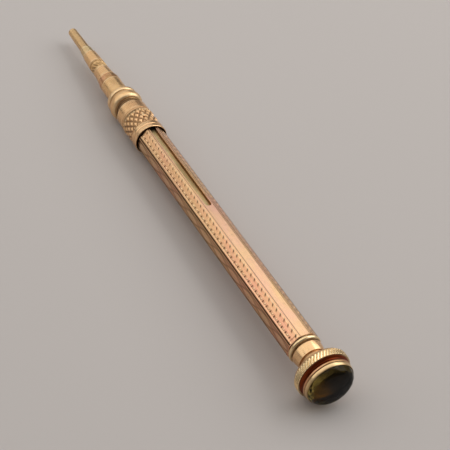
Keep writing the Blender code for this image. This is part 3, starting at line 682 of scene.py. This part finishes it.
def stone_finish():
    """Smoky glassy stone with faint clouds in it and a painted olive glint towards one side."""
    made = Finish("smoky_stone")
    out, fall = 0.75, -0.66
    inputs = {0: made.place(), 1: (0, out, fall)}
    side = made.add("VectorMath", inputs, operation="DOT_PRODUCT").outputs["Value"]
    smoky_to, glint_full_from = fall * AXIS - 0.2 * MM, fall * AXIS + 2.6 * MM
    # The olive side is a painted glint, set by where a point lies in the stone.
    glint_zone = made.between(side, smoky_to, glint_full_from, 0.06, 1.0)
    clouds = made.between(made.noise(420, 3.0), 0.35, 0.6, 0.35, 1.0)
    olive = made.math("MULTIPLY", glint_zone, clouds)
    made.set(Base_Color=made.blend(olive, tone("stone"), tone("stone_glint")))
    made.set(Metallic=0.0, IOR=1.2, Transmission_Weight=1.0)
    made.set(Roughness=made.between(made.noise(2600, 3.0), 0.4, 0.75, 0.02, 0.09))
    return made.material


def floor_finish():
    """Pale smooth paper."""
    pale = tuple(bpy.context.scene.pencil_stage.floor)
    made = Finish("pale_floor")
    fibres = made.noise(700, 5.0)
    made.set(Base_Color=made.blend(fibres, tuple(c * 0.985 for c in pale), pale))
    made.set(Metallic=0.0, Roughness=made.between(fibres, 0.3, 0.7, 0.8, 0.9))
    return made.material


# Reliefs: how high the metal stands, how dirty it is with painted shade, and how rubbed


def raised(value, low, high):
    """A smooth step from 0 at low to 1 at high."""
    t = np.clip((value - low) / (high - low), 0, 1)
    return t * t * (3 - 2 * t)


def within(value, low, high, soft):
    """1 between two limits, with soft edges inside them."""
    return raised(value, low, low + soft) * (1 - raised(value, high - soft, high))


def hump(off, half):
    """A bell of height 1 about a line."""
    return np.exp(-((off / half) ** 2))


def scoop(a, b):
    """A rounded cut that is 1 in its middle and gone where either share reaches 1."""
    return np.sqrt(np.clip(1 - a**2, 0, 1) * np.clip(1 - b**2, 0, 1))


def from_whole(value):
    """How far a value is from the nearest whole number."""
    return np.abs(value - np.round(value))


def from_half(value):
    """How far a value is past the nearest half, with its sign."""
    return value - np.floor(value) - 0.5


def film(dirt, wear=0):
    """A relief that keeps the shape and only adds wear, and dirt with painted shade by a function of the
    station.
    """

    def relief(x, angle):
        return 0, dirt(x), wear

    return relief


def corner_fall(across):
    """How far the metal is rounded off towards a panel's edges."""
    half = bpy.context.scene.pencil_engraving.panel_half
    corner = 0.1 * MM
    return raised(np.abs(across), half - corner, half)


def end_line(along):
    """Frame lines across both ends of a panel."""
    cut = bpy.context.scene.pencil_engraving
    rear, front = span("barrel_shell")
    inset = 0.75 * MM
    return hump(np.minimum(along, front - rear - along) - inset, cut.frame_half)


def plain_relief(along, across):
    """Bare panel with a thin frame line."""
    cut = bpy.context.scene.pencil_engraving
    groove = hump(np.abs(across) - cut.frame_line, cut.frame_half)
    corner = corner_fall(across)
    height = cut.field - (cut.field - cut.ground) * np.maximum(groove, corner)
    return height, groove * 0.9, corner * 0.3


def beaded_relief(along, across):
    """Row of nicks, bare band, row of beads with dark notches, ridge and sunk border."""
    cut = bpy.context.scene.pencil_engraving
    border_edge = 0.08 * MM
    phase = along / cut.bead_pitch
    from_nicks = across + cut.nick_line
    slanted = from_half(phase) * cut.bead_pitch + math.tan(cut.nick_slant) * from_nicks
    nick = scoop(from_nicks / cut.nick_half, slanted / cut.nick_width)
    notch_across = (across - cut.notch_line) / cut.notch_half
    taper = cut.notch_width * (0.78 + 0.22 * notch_across)
    notch = scoop(notch_across, from_whole(phase) * cut.bead_pitch / taper)
    border = raised(across, cut.border, cut.border + border_edge)
    ridge = hump(across - cut.ridge_line, cut.ridge_half)
    ends = end_line(along)
    deep = cut.field - cut.ground
    height = cut.field - deep * np.maximum.reduce([nick, notch, border, ends])
    height += 0.5 * deep * ridge
    upper = across < 0
    height = np.where(upper, height - (height - cut.ground) * corner_fall(across), height)
    bead_strip = raised(across, -0.12 * MM, 0.02 * MM) * (1 - raised(across, 0.46 * MM, 0.54 * MM))
    dirt = np.clip(0.95 * nick + 0.8 * notch + border + 0.7 * ends + 0.22 * bead_strip, 0, 1)
    rubbed_edge = np.where(upper, raised(-across, 0.92 * MM, 0.98 * MM), 0)
    wear = np.clip(0.6 * ridge + rubbed_edge, 0, 1)
    return height, dirt * (1 - 0.8 * ridge), wear


def wavy_relief(along, across):
    """Crossing waves with fine cuts beside them, between sunk borders."""
    cut = bpy.context.scene.pencil_engraving
    fine_half = 0.035 * MM
    turn = TURN * along / cut.wave_length
    steep = TURN * cut.wave_swing / cut.wave_length * np.cos(turn)
    lean = np.sqrt(1 + steep**2)
    swing = cut.wave_swing * np.sin(turn)
    groove = np.zeros_like(along)
    for wave in (swing, -swing):
        off = (across - wave) / lean
        groove = np.maximum(groove, hump(off, cut.wave_half))
        for i in range(1, cut.wave_lines + 1):
            fine = hump(np.abs(off) - cut.wave_half - i * cut.wave_step, fine_half)
            groove = np.maximum(groove, 0.35 * fine)
    between = (np.abs(across) < np.abs(swing)).astype(float)
    border_from, border_to = cut.frame_line - 0.06 * MM, cut.frame_line + 0.03 * MM
    border = raised(np.abs(across), border_from, border_to)
    deep = cut.field - cut.ground
    height = cut.field - deep * np.maximum.reduce([groove, border, end_line(along)])
    height += 0.25 * deep * between * (1 - groove)
    dirt = np.clip(0.52 * groove + 0.5 * border + 0.24 * (1 - between), 0, 1)
    return height, dirt, 0.55 * between * (1 - groove)


def knurl_relief(rear, front):
    """Crossing cuts that leave diamonds between two stations."""
    size = bpy.context.scene.pencil_turning
    soft = 0.12 * MM

    def relief(x, angle):
        around = size.knurl_count * angle / TURN
        on = (x - rear) / size.knurl_pitch
        point = np.minimum(from_whole(around + on) * 2, from_whole(around - on) * 2)
        inside = within(x, rear, front, soft)
        height = -size.knurl_depth * (1 - raised(point, 0.15, 0.7)) * inside
        low = 1 - raised(point, 0.2, 0.55)
        return height, (0.12 + low * 0.6) * inside, raised(point, 0.6, 0.85) * inside * 0.8

    return relief


def milled_relief(rear, front):
    """Coin edge: even slanting V cuts along the rim."""
    size = bpy.context.scene.pencil_turning
    outer = reach("milled_ring")
    bare = 0.02 * MM
    soft = 0.12 * MM
    face = 0.01 * MM

    def relief(x, angle):
        lean = math.tan(size.tooth_slant) * (x - rear) / outer
        off = from_whole((angle + lean) * size.tooth_count / TURN) * 2
        rim = within(x, rear + bare, front - bare, soft)
        height = -size.tooth_depth * (1 - off) ** 1.2 * rim
        # Painted shade on the ring's rear face, beside the red cove.
        back = 0.55 * (x < rear + face)
        return height, (1 - raised(off, 0.05, 0.4)) * rim * 0.6 + back, raised(off, 0.35, 0.7) * rim

    return relief


def notch_relief(rear, front, radius):
    """Slanting notches round a small ring."""
    size = bpy.context.scene.pencil_turning
    middle = (rear + front) / 2
    half = (front - rear) / 2 * 0.8
    half_width = 0.25 * MM
    pitch = TURN * radius / size.notch_count

    def relief(x, angle):
        along = x - middle
        around = angle * radius - math.tan(size.notch_slant) * along
        cut = scoop(along / half, from_half(around / pitch) * pitch / half_width)
        return -size.notch_depth * cut, cut * 0.7, 0

    return relief


# Operators


class PencilBarrel(bpy.types.Operator):
    """Engrave the barrel's facets"""

    bl_idname = "pencil.barrel"
    bl_label = "Engraved barrel"

    def execute(self, context):
        cut = context.scene.pencil_engraving
        gold = gold_finish()
        dress("barrel_shell", shell_finish())
        plain = panel_mesh("plain_panel", 0, cut.plain_row, plain_relief)
        self.open_slot(plain, context)
        add_piece("plain_panel", plain, "barrel", plain_finish())
        for facet in range(1, FACETS, 2):
            which = str((facet + 1) // 2)
            name = "beaded_panel_" + which
            add_piece(name, panel_mesh(name, facet, cut.fine_row, beaded_relief), "barrel", gold)
            add_piece("bead_row_" + which, self.beads(facet, cut), "barrel", gold)
        for facet in range(2, FACETS, 2):
            name = "wavy_panel_" + str(facet // 2)
            add_piece(name, panel_mesh(name, facet, cut.wave_row, wavy_relief), "barrel", gold)
        return {"FINISHED"}

    def beads(self, facet, cut):
        """One row of low domes along a facet."""
        drawn_out = 1.15
        rear, front = span("barrel_shell")
        turn = facet * TURN / FACETS
        across = -cut.bead_line if mirrored(facet) else cut.bead_line
        stand = Matrix.Translation((0, 0, AXIS)) @ Matrix.Rotation(-turn, 4, "X")
        size = Matrix.Diagonal((cut.bead_radius * drawn_out, cut.bead_radius, cut.bead_rise, 1))
        work = bmesh.new()
        for i in range(1, int((front - rear) / cut.bead_pitch)):
            place = Vector((rear + (i + 0.5) * cut.bead_pitch, across, FLAT + cut.ground))
            lay = stand @ Matrix.Translation(place) @ size
            bmesh.ops.create_uvsphere(work, u_segments=14, v_segments=8, radius=1, matrix=lay)
        mesh = finished(work, "bead_row")
        points = np.array([v.co for v in mesh.vertices])
        out = points[:, 1] * math.sin(turn) + (points[:, 2] - AXIS) * math.cos(turn)
        top = (out - FLAT - cut.ground) / cut.bead_rise
        return weathered(mesh, 1 - raised(top, 0.1, 0.55), raised(top, 0.45, 0.95))

    def open_slot(self, mesh, context):
        """Cut the key's slot through the plain panel."""
        half = 0.65 * MM
        stop = 0.2 * MM
        steps = 16
        travel = -next(j for j in frame["joints"] if j["name"] == "barrel_slide")["range_m"][0]
        rear, front = span("slide_key")
        work = bmesh.new()
        outline = []
        for side, end in ((1, front + stop - half), (-1, rear - travel - stop + half)):
            for i in range(steps + 1):
                angle = -math.pi / 2 + math.pi * i / steps
                place = (end + side * half * math.cos(angle), side * half * math.sin(angle))
                outline.append(work.verts.new((*place, AXIS + FLAT - MM)))
        lifted = bmesh.ops.extrude_face_region(work, geom=[work.faces.new(outline)])
        moved = [g for g in lifted["geom"] if isinstance(g, bmesh.types.BMVert)]
        bmesh.ops.translate(work, verts=moved, vec=(0, 0, 2 * MM))
        bmesh.ops.recalc_face_normals(work, faces=work.faces)
        cutter_mesh = finished(work, "slot_cutter")
        cutter = bpy.data.objects.new("slot_cutter", cutter_mesh)
        holder = bpy.data.objects.new("slot_panel", mesh)
        for made in (cutter, holder):
            context.scene.collection.objects.link(made)
        boolean = holder.modifiers.new("slot", "BOOLEAN")
        boolean.solver = "EXACT"
        boolean.object = cutter
        context.view_layer.update()
        opened = bpy.data.meshes.new_from_object(holder.evaluated_get(context.evaluated_depsgraph_get()))
        work = bmesh.new()
        work.from_mesh(opened)
        work.to_mesh(mesh)
        work.free()
        for made in (cutter, holder):
            bpy.data.objects.remove(made)
        for used in (opened, cutter_mesh):
            bpy.data.meshes.remove(used)
        smooth(mesh)


class PencilFerrule(bpy.types.Operator):
    """Turn the ferrule at the barrel's mouth"""

    bl_idname = "pencil.ferrule"
    bl_label = "Front ferrule"

    def execute(self, context):
        size = context.scene.pencil_turning
        line = 3.05 * MM
        brim_rear, brim_front = 2.85 * MM, 2.65 * MM
        brim_length = 0.6 * MM
        clearance = 0.05 * MM
        rear = span("front_ferrule")[0]
        shoulder = rear + size.plug
        cove = shoulder + size.flange_length
        bead = cove + size.cove_length
        groove = bead + size.bead_length
        lip = groove + size.ferrule_line
        brim = lip + size.lip_length
        front = brim + brim_length
        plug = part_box("rear_bush")[1].z - AXIS
        bore = size.sleeve + clearance
        outer = [(rear, plug), (shoulder, plug), (shoulder, size.flange), (cove, size.flange)]
        outer += bulge(cove, bead, size.flange, size.cove - size.flange)
        outer.append((bead, size.flange))
        outer += bulge(bead, groove, size.flange, size.bead - size.flange, steps=20)
        outer += [(groove, line), (lip, line)]
        outer += bulge(lip, brim, line, size.lip - line)
        outer += [(brim, brim_rear), (front, brim_front)]
        # Painted shade over the flange and the cove beside the slider's collar, fading out at the bead.
        shade_full_to, shade_gone_from = bead - 0.3 * MM, bead + 0.2 * MM
        shaded = film(lambda x: 0.5 * (1 - raised(x, shade_full_to, shade_gone_from)))
        piece = ("ferrule", "front_ferrule", "barrel", "gold", turned_gold_finish())
        add_turned(*piece, outer, bore, relief=shaded, step=0.12 * MM, grime=0.4)
        return {"FINISHED"}


class PencilSlider(bpy.types.Operator):
    """Turn and knurl the slider ring and set its rivet"""

    bl_idname = "pencil.slider"
    bl_label = "Knurled slider ring"

    def execute(self, context):
        size = context.scene.pencil_turning
        rear = span("slider_ring")[0]
        front = rear + size.ring_length
        rim = reach("slider_ring")
        knurl = rear + size.rim_length
        lines = knurl + size.band_length
        low = size.band - size.line_depth
        groove = size.collar - size.line_depth
        bevel, bevel_length = 0.08 * MM, 0.15 * MM
        lip, lip_length = 0.06 * MM, 0.1 * MM
        vee, vee_half = rear + 1.0 * MM, 0.2 * MM
        outer = [(rear, size.ring_mouth), (rear, rim - bevel), (rear + bevel_length, rim)]
        outer += [(vee - vee_half, rim), (vee, rim - size.line_depth), (vee + vee_half, rim)]
        outer += [(knurl - size.line, rim), (knurl - size.line, low), (knurl, low)]
        outer += [(knurl, size.band), (lines, size.band)]
        for start in (lines, lines + size.line_pitch):
            outer += [(start, groove), (start + size.line, groove)]
            outer += [(start + size.line, size.collar), (start + size.line_pitch, size.collar)]
        outer += [(front - lip_length, size.collar), (front, size.collar - lip)]
        gold = slider_finish()
        add_turned(
            *("knurled_slider", "slider_ring", "slide", "gold", gold, outer, size.ring_bore),
            relief=knurl_relief(knurl, lines),
            step=size.knurl_row,
            segments=size.knurl_count * 16,
            edge=0.03 * MM,
            mouth=[(rear + size.mouth_length, size.ring_bore)],
        )
        add_piece("rivet_head", self.rivet(), "slide", gold, ["key_rivet"])
        return {"FINISHED"}

    def rivet(self):
        """Rubbed rivet with a low crown."""
        low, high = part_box("key_rivet")
        radius = (high.y - low.y) / 2
        middle = (low.x + high.x) / 2
        crown = 0.08 * MM
        segments = 32
        rows = [(low.z, radius), (high.z - crown, radius)]
        for slope in (0.35, 0.7, 1.05, 1.3):
            rows.append((high.z - crown * (1 - math.sin(slope)), radius * math.cos(slope)))
        work = bmesh.new()
        rings = []
        for z, r in rows:
            ring = []
            for k in range(segments):
                angle = TURN * k / segments
                ring.append(work.verts.new((middle + r * math.cos(angle), r * math.sin(angle), z)))
            rings.append(ring)
        for a, b in zip(rings, rings[1:]):
            for k in range(segments):
                after = (k + 1) % segments
                work.faces.new((a[k], a[after], b[after], b[k]))
        work.faces.new(rings[0][::-1])
        work.faces.new(rings[-1])
        mesh = finished(work, "rivet_head")
        height = np.array([v.co.z for v in mesh.vertices])
        edge = high.z - crown
        return weathered(mesh, 1 - raised(height, high.z - 1.6 * crown, edge), raised(height, edge, high.z))


class PencilNose(bpy.types.Operator):
    """Turn the nose's sleeve, rings, cones, collar and tube"""

    bl_idname = "pencil.nose"
    bl_label = "Twist nose"

    def execute(self, context):
        size = context.scene.pencil_turning
        gold = turned_gold_finish()
        rose = rose_finish()
        sunk = 0.02 * MM
        core = size.tube_rear - sunk
        for node, back, tip, finish, slot in (
            ("nose_sleeve", size.sleeve, size.sleeve, gold, "gold"),
            ("rear_cone", size.cone_rear, size.cone_middle, gold, "gold"),
            ("front_cone", size.cone_middle, size.cone_front, gold, "gold"),
            ("step_collar", size.step_rear, size.step_front, olive_finish(), "green_gold"),
        ):
            rear, front = span(node)
            piece = ("turned_" + node, node, "nose", slot, finish)
            add_turned(*piece, [(rear, back), (front, tip)], core, step=0.5 * MM, grime=0.25)
        self.band(rose, core, size)
        self.notched(notch_finish(), core, size)
        self.tube(tube_finish(), size)
        return {"FINISHED"}

    def band(self, finish, core, size):
        """Band with a raised rear edge and a hollow front."""
        rear, front = span("nose_band")
        hollow = 0.05 * MM
        raised_length = 1.2 * MM
        step = rear + raised_length
        outer = [(rear, size.sleeve), (step, size.sleeve), (step, size.band_low)]
        outer += bulge(step, front, size.band_low, -hollow)
        outer.append((front, size.band_low))
        add_turned("rosy_band", "nose_band", "nose", "rose_gold", finish, outer, core, grime=0.2, rub=0)

    def notched(self, finish, core, size):
        """Small ring with a shallow groove and slanting notches."""
        rear, front = span("notched_ring")
        radius = size.cone_middle
        groove = 0.3 * MM
        deep = 1.66 * MM
        bevel, bevel_length = 0.03 * MM, 0.12 * MM
        slope = 0.05 * MM
        lip = front - groove
        wall = lip - groove
        outer = [(rear, radius - bevel), (rear + bevel_length, radius), (wall, radius), (wall, deep)]
        outer += [(lip, deep), (lip, radius), (front, radius - slope)]
        add_turned(
            *("notched_collar", "notched_ring", "nose", "rose_gold", finish, outer, core),
            relief=notch_relief(rear, wall, radius),
            step=0.07 * MM,
            segments=180,
            edge=0.03 * MM,
            grime=0.55,
            rub=0.3,
        )

    def tube(self, finish, size):
        """Lead tube with a rounded tip, on its long core."""
        rear, front = span("lead_tube")
        bore = 0.53 * MM
        mouth = bore + 0.1 * MM
        core = 0.95 * MM
        taper = 0.5 * MM
        root = span("step_collar")[1] + size.fit
        outer = [(rear, core), (root, core), (root, size.tube_rear)]
        outer += [(front - taper, size.tube_tip), (front, mouth)]
        piece = ("tip_tube", "lead_tube", "nose", "rose_gold", finish)
        add_turned(*piece, outer, bore, step=0.5 * MM, segments=72, edge=0.12 * MM)


class PencilCap(bpy.types.Operator):
    """Turn the end bead, neck, milled ring, cove, seat and bezel"""

    bl_idname = "pencil.cap"
    bl_label = "Seal cap"

    def execute(self, context):
        size = context.scene.pencil_turning
        bright = milled_gold_finish()
        loose = 0.08 * MM
        stem = reach("cap_stem")
        self.bead(bright, stem + loose)
        self.neck(slider_finish(), stem + size.fit, size)
        self.milled(bright, stem + size.fit, size)
        self.cove(red_finish(), size)
        self.seat(rose_finish(), size)
        self.bezel(bright, size)
        return {"FINISHED"}

    def ends(self, wanted, size):
        """Rear and front end of one of the cap's rings, counted from the neck back."""
        front = span("cap_neck")[1]
        for name in ("neck", "milled", "hollow", "seat", "bezel"):
            rear = front - getattr(size, name)
            if name == wanted:
                return rear, front
            front = rear - size.fit
        raise ValueError(wanted)

    def bead(self, finish, bore):
        """Half-round bead, polished by the hand."""
        rear, front = span("end_bead")
        half = (front - rear) / 2
        flank = reach("end_bead") - half
        outer = [(rear, flank), *bulge(rear, front, flank, half, steps=20), (front, flank)]
        polished = film(lambda x: 0, 1)
        add_turned("rim_bead", "end_bead", "collar", "gold", finish, outer, bore, relief=polished)

    def neck(self, finish, bore, size):
        """Groove and sharp-edged cone in front, then a waist that flares to a bevelled disc."""
        rear, front = self.ends("neck", size)
        bevel = 0.25 * MM
        flare = 3.6 * MM
        waist = 2.3 * MM
        groove = 2.6 * MM
        cone_rear, cone_front = 2.65 * MM, 2.9 * MM
        disc = rear + 0.45 * MM
        cove = disc + 1.0 * MM
        rim = front - 0.35 * MM
        edge = rim - 1.9 * MM
        soft = 0.02 * MM
        outer = [(rear, size.disc), (disc, size.disc - bevel), (disc, flare)]
        outer += curve((disc, flare), (cove, waist), 14, steady, fast_first)
        outer += [(edge, waist), (edge, cone_rear), (rim, cone_front), (rim, groove), (front, groove)]

        def shade(x):
            in_waist = 0.42 * (1 - raised(x, edge - soft, edge + soft)) + 0.08
            return in_waist + 0.45 * raised(x, rim - soft, rim + soft)

        piece = ("waisted_neck", "cap_neck", "cap", "gold", finish)
        add_turned(*piece, outer, bore, relief=film(shade), grime=0, rub=0.3)

    def milled(self, finish, bore, size):
        """Disc with a coin edge."""
        rear, front = self.ends("milled", size)
        chamfer = 0.12 * MM
        outer = chamfered(rear, front, reach("milled_ring"), chamfer, chamfer)
        add_turned(
            *("coin_edge", "milled_ring", "cap", "gold", finish, outer, bore),
            relief=milled_relief(rear, front),
            step=0.16 * MM,
            segments=size.tooth_count * 12,
            edge=0.06 * MM,
            grime=0.5,
        )

    def cove(self, finish, size):
        """Hollow red ring."""
        rear, front = self.ends("hollow", size)
        middle = (rear + front) / 2
        waist = 4.35 * MM
        back = 4.53 * MM
        core = MM
        outer = [(rear, back), (middle, waist)]
        outer += curve((middle, waist), (front, reach("cove_ring")), 10, steady, slow_first)
        add_turned("red_cove", "cove_ring", "cap", "red_gold", finish, outer, core, grime=0.5, rub=0)

    def seat(self, finish, size):
        """Thin dull ring that the stone sits in."""
        bore = 3.9 * MM
        back, tip = 0.1 * MM, 0.12 * MM
        outer = chamfered(*self.ends("seat", size), reach("seat_ring"), back, tip)
        dull = film(lambda x: 0.18)
        add_turned("seat_rim", "seat_ring", "cap", "rose_gold", finish, outer, bore, relief=dull, rub=0)

    def bezel(self, finish, size):
        """Bezel rubbed over the stone's edge."""
        rear, front = self.ends("bezel", size)
        radius = reach("bezel")
        chamfer = 0.08 * MM
        bore = 4.38 * MM
        edge = 4.43 * MM
        outer = [(rear, edge)]
        outer += curve((rear, edge), (front - chamfer, radius), 12, slow_first, fast_first)
        outer.append((front, radius - chamfer))
        tarnished = film(lambda x: 0.2 + 0.2 * (1 - raised(x, rear, front)))
        piece = ("rubbed_bezel", "bezel", "cap", "gold", finish)
        add_turned(*piece, outer, bore, relief=tarnished, step=0.1 * MM, grime=0.6, rub=0.2)


class PencilStone(bpy.types.Operator):
    """Cut the stone's facets"""

    bl_idname = "pencil.stone"
    bl_label = "Faceted stone"

    GIRDLE = 4.36
    # Depth under the table and radius in millimetres, corners, and turn in corners, from the table back
    RINGS = (
        (0.0, 1.5, 8, 0.5),
        (0.08, 2.7, 8, 0.0),
        (0.22, 3.45, 16, 0.0),
        (0.54, 3.97, 16, 0.5),
        (1.0, 4.28, 16, 0.0),
        (1.4, GIRDLE, 32, 0.0),
        (1.7, GIRDLE, 32, 0.0),
        (2.3, 3.4, 8, 0.0),
        (2.55, 2.6, 8, 0.5),
    )

    def execute(self, context):
        table = span("stone")[0]
        flat = math.radians(1.5)
        work = bmesh.new()
        for depth, radius, corners, shift in self.RINGS:
            for k in range(corners):
                angle = TURN * (k + shift) / corners
                out = (radius * MM * math.sin(angle), AXIS + radius * MM * math.cos(angle))
                work.verts.new((table + depth * MM, *out))
        hull = bmesh.ops.convex_hull(work, input=work.verts)
        bmesh.ops.delete(work, geom=hull["geom_interior"], context="VERTS")
        bmesh.ops.dissolve_limit(work, angle_limit=flat, verts=work.verts, edges=work.edges)
        bmesh.ops.recalc_face_normals(work, faces=work.faces)
        add_piece("cut_stone", finished(work, "cut_stone"), "cap", stone_finish(), ["stone"])
        return {"FINISHED"}


class PencilInside(bpy.types.Operator):
    """Finish the packed pieces that stay as they are"""

    bl_idname = "pencil.inside"
    bl_label = "Hidden works"

    def execute(self, context):
        brass = ("rear_bush", "magazine_tube", "slide_key", "carrier_tube", "carrier_bush")
        brass += ("thread_tube", "guide_tube", "cap_stem")
        for finish, nodes in (
            (brass_finish(), brass),
            (steel_finish(), ("drag_spring", "retaining_ring", "follower", "pusher_rod")),
            (graphite_finish(), ("lead", "spare_lead_1", "spare_lead_2", "spare_lead_3")),
            (foil_finish(), ("foil",)),
        ):
            for node in nodes:
                smooth(dress(node, finish), math.radians(30))
        return {"FINISHED"}


class PencilSetting(bpy.types.Operator):
    """Lay the floor, hang the lamps and set the camera"""

    bl_idname = "pencil.setting"
    bl_label = "Stage"

    # Direction from the aim, distance and size of the lamps that look at the pencil, in metres
    LAMPS = {
        "window": ((-0.13, -0.78, 0.62), 0.75, (0.9, 0.6)),
        "side": ((0.38, 0.82, 0.43), 0.7, (0.48, 0.36)),
        "front": ((0.920, 0.113, 0.375), 1.0, (1.25, 0.57)),
    }

    def execute(self, context):
        stage = context.scene.pencil_stage
        self.floor(context, stage)
        self.sky(context, stage)
        self.camera(context, stage)
        for name, (way, far, size) in self.LAMPS.items():
            way = Vector(way)
            lamp = self.lamp(context, name, Vector(stage.aim) + way.normalized() * far, size)
            lamp.rotation_euler = (-way).to_track_quat("-Z", "Y").to_euler()
        self.ceiling(context)
        context.scene.view_settings.view_transform = "Standard"
        return {"FINISHED"}

    def floor(self, context, stage):
        """A pale floor that the milled ring and the ferrule's bead rest on."""
        size = context.scene.pencil_turning
        gap = 0.02 * MM
        rear = span("cap_neck")[1] - size.neck - size.fit
        bead = span("front_ferrule")[0] + size.plug + size.flange_length + size.cove_length
        front = bead + size.bead_length / 2
        low_rear = AXIS - reach("milled_ring")
        tilt = math.atan2(AXIS - size.bead - low_rear, front - rear)
        work = bmesh.new()
        place = Matrix.Translation((rear, 0, low_rear - gap)) @ Matrix.Rotation(-tilt, 4, "Y")
        bmesh.ops.create_grid(work, x_segments=2, y_segments=2, size=stage.floor_size / 2, matrix=place)
        mesh = finished(work, "floor")
        mesh.materials.append(floor_finish())
        floor = bpy.data.objects.new("floor", mesh)
        context.scene.collection.objects.link(floor)

    def sky(self, context, stage):
        """Even light from all round."""
        world = bpy.data.worlds.new("studio")
        world.use_nodes = True
        context.scene.world = world
        light = world.node_tree.nodes["Background"]
        light.inputs["Color"].default_value = (1.0, 0.985, 0.965, 1)
        light.inputs["Strength"].default_value = stage.sky

    def lamp(self, context, name, place, size):
        """A large soft lamp, which shines straight down until it is turned."""
        light = bpy.data.lights.new(name, "AREA")
        light.shape = "RECTANGLE"
        light.size, light.size_y = size
        light.energy = getattr(context.scene.pencil_stage, name)
        lamp = bpy.data.objects.new(name, light)
        lamp.location = place
        context.scene.collection.objects.link(lamp)
        return lamp

    def ceiling(self, context):
        """A level panel overhead, its far edge where the plain facet turns dim."""
        rear, front = -0.1, 0.62
        width = 1.2
        height = 0.6
        self.lamp(context, "ceiling", ((rear + front) / 2, 0, height), (front - rear, width))

    def camera(self, context, stage):
        """The camera where the photograph was taken from."""
        a, e = stage.azimuth, stage.elevation
        back = Vector((math.sin(a) * math.cos(e), -math.cos(a) * math.cos(e), math.sin(e)))
        level_right = Vector((0, 0, 1)).cross(back).normalized()
        level_up = back.cross(level_right)
        up = level_up * math.cos(stage.roll) + level_right * math.sin(stage.roll)
        right = up.cross(back)
        data = bpy.data.cameras.new("photo_view")
        data.lens = stage.lens
        data.clip_start = 0.01
        data.clip_end = 20
        camera = bpy.data.objects.new("photo_view", data)
        turn = Matrix((right, up, back)).transposed()
        camera.matrix_world = Matrix.Translation(Vector(stage.aim) + back * stage.distance) @ turn.to_4x4()
        context.scene.collection.objects.link(camera)
        context.scene.camera = camera


class PencilPanel(bpy.types.Panel):
    """Buttons and sizes of the pencil"""

    bl_idname = "VIEW3D_PT_pencil"
    bl_label = "Telescoping pencil"
    bl_space_type = "VIEW_3D"
    bl_region_type = "UI"
    bl_category = "Pencil"

    def draw(self, context):
        for operator in OPERATORS:
            self.layout.operator(operator.bl_idname)
        for name, group in GROUPS.items():
            box = self.layout.box()
            box.label(text=group.__doc__)
            for key in group.__annotations__:
                box.prop(getattr(context.scene, name), key)


GROUPS = {
    "pencil_engraving": PencilEngraving,
    "pencil_turning": PencilTurning,
    "pencil_finish": PencilFinish,
    "pencil_stage": PencilStage,
}
OPERATORS = (
    PencilBarrel,
    PencilFerrule,
    PencilSlider,
    PencilNose,
    PencilCap,
    PencilStone,
    PencilInside,
    PencilSetting,
)


def register():
    for group in GROUPS.values():
        bpy.utils.register_class(group)
    for name, group in GROUPS.items():
        setattr(bpy.types.Scene, name, PointerProperty(type=group))
    for operator in OPERATORS:
        bpy.utils.register_class(operator)
    bpy.utils.register_class(PencilPanel)


def unregister():
    bpy.utils.unregister_class(PencilPanel)
    for operator in reversed(OPERATORS):
        bpy.utils.unregister_class(operator)
    for name, group in GROUPS.items():
        delattr(bpy.types.Scene, name)
        bpy.utils.unregister_class(group)


def main():
    register()
    for operator in OPERATORS:
        family, name = operator.bl_idname.split(".")
        getattr(getattr(bpy.ops, family), name)()


if __name__ == "__main__":
    main()
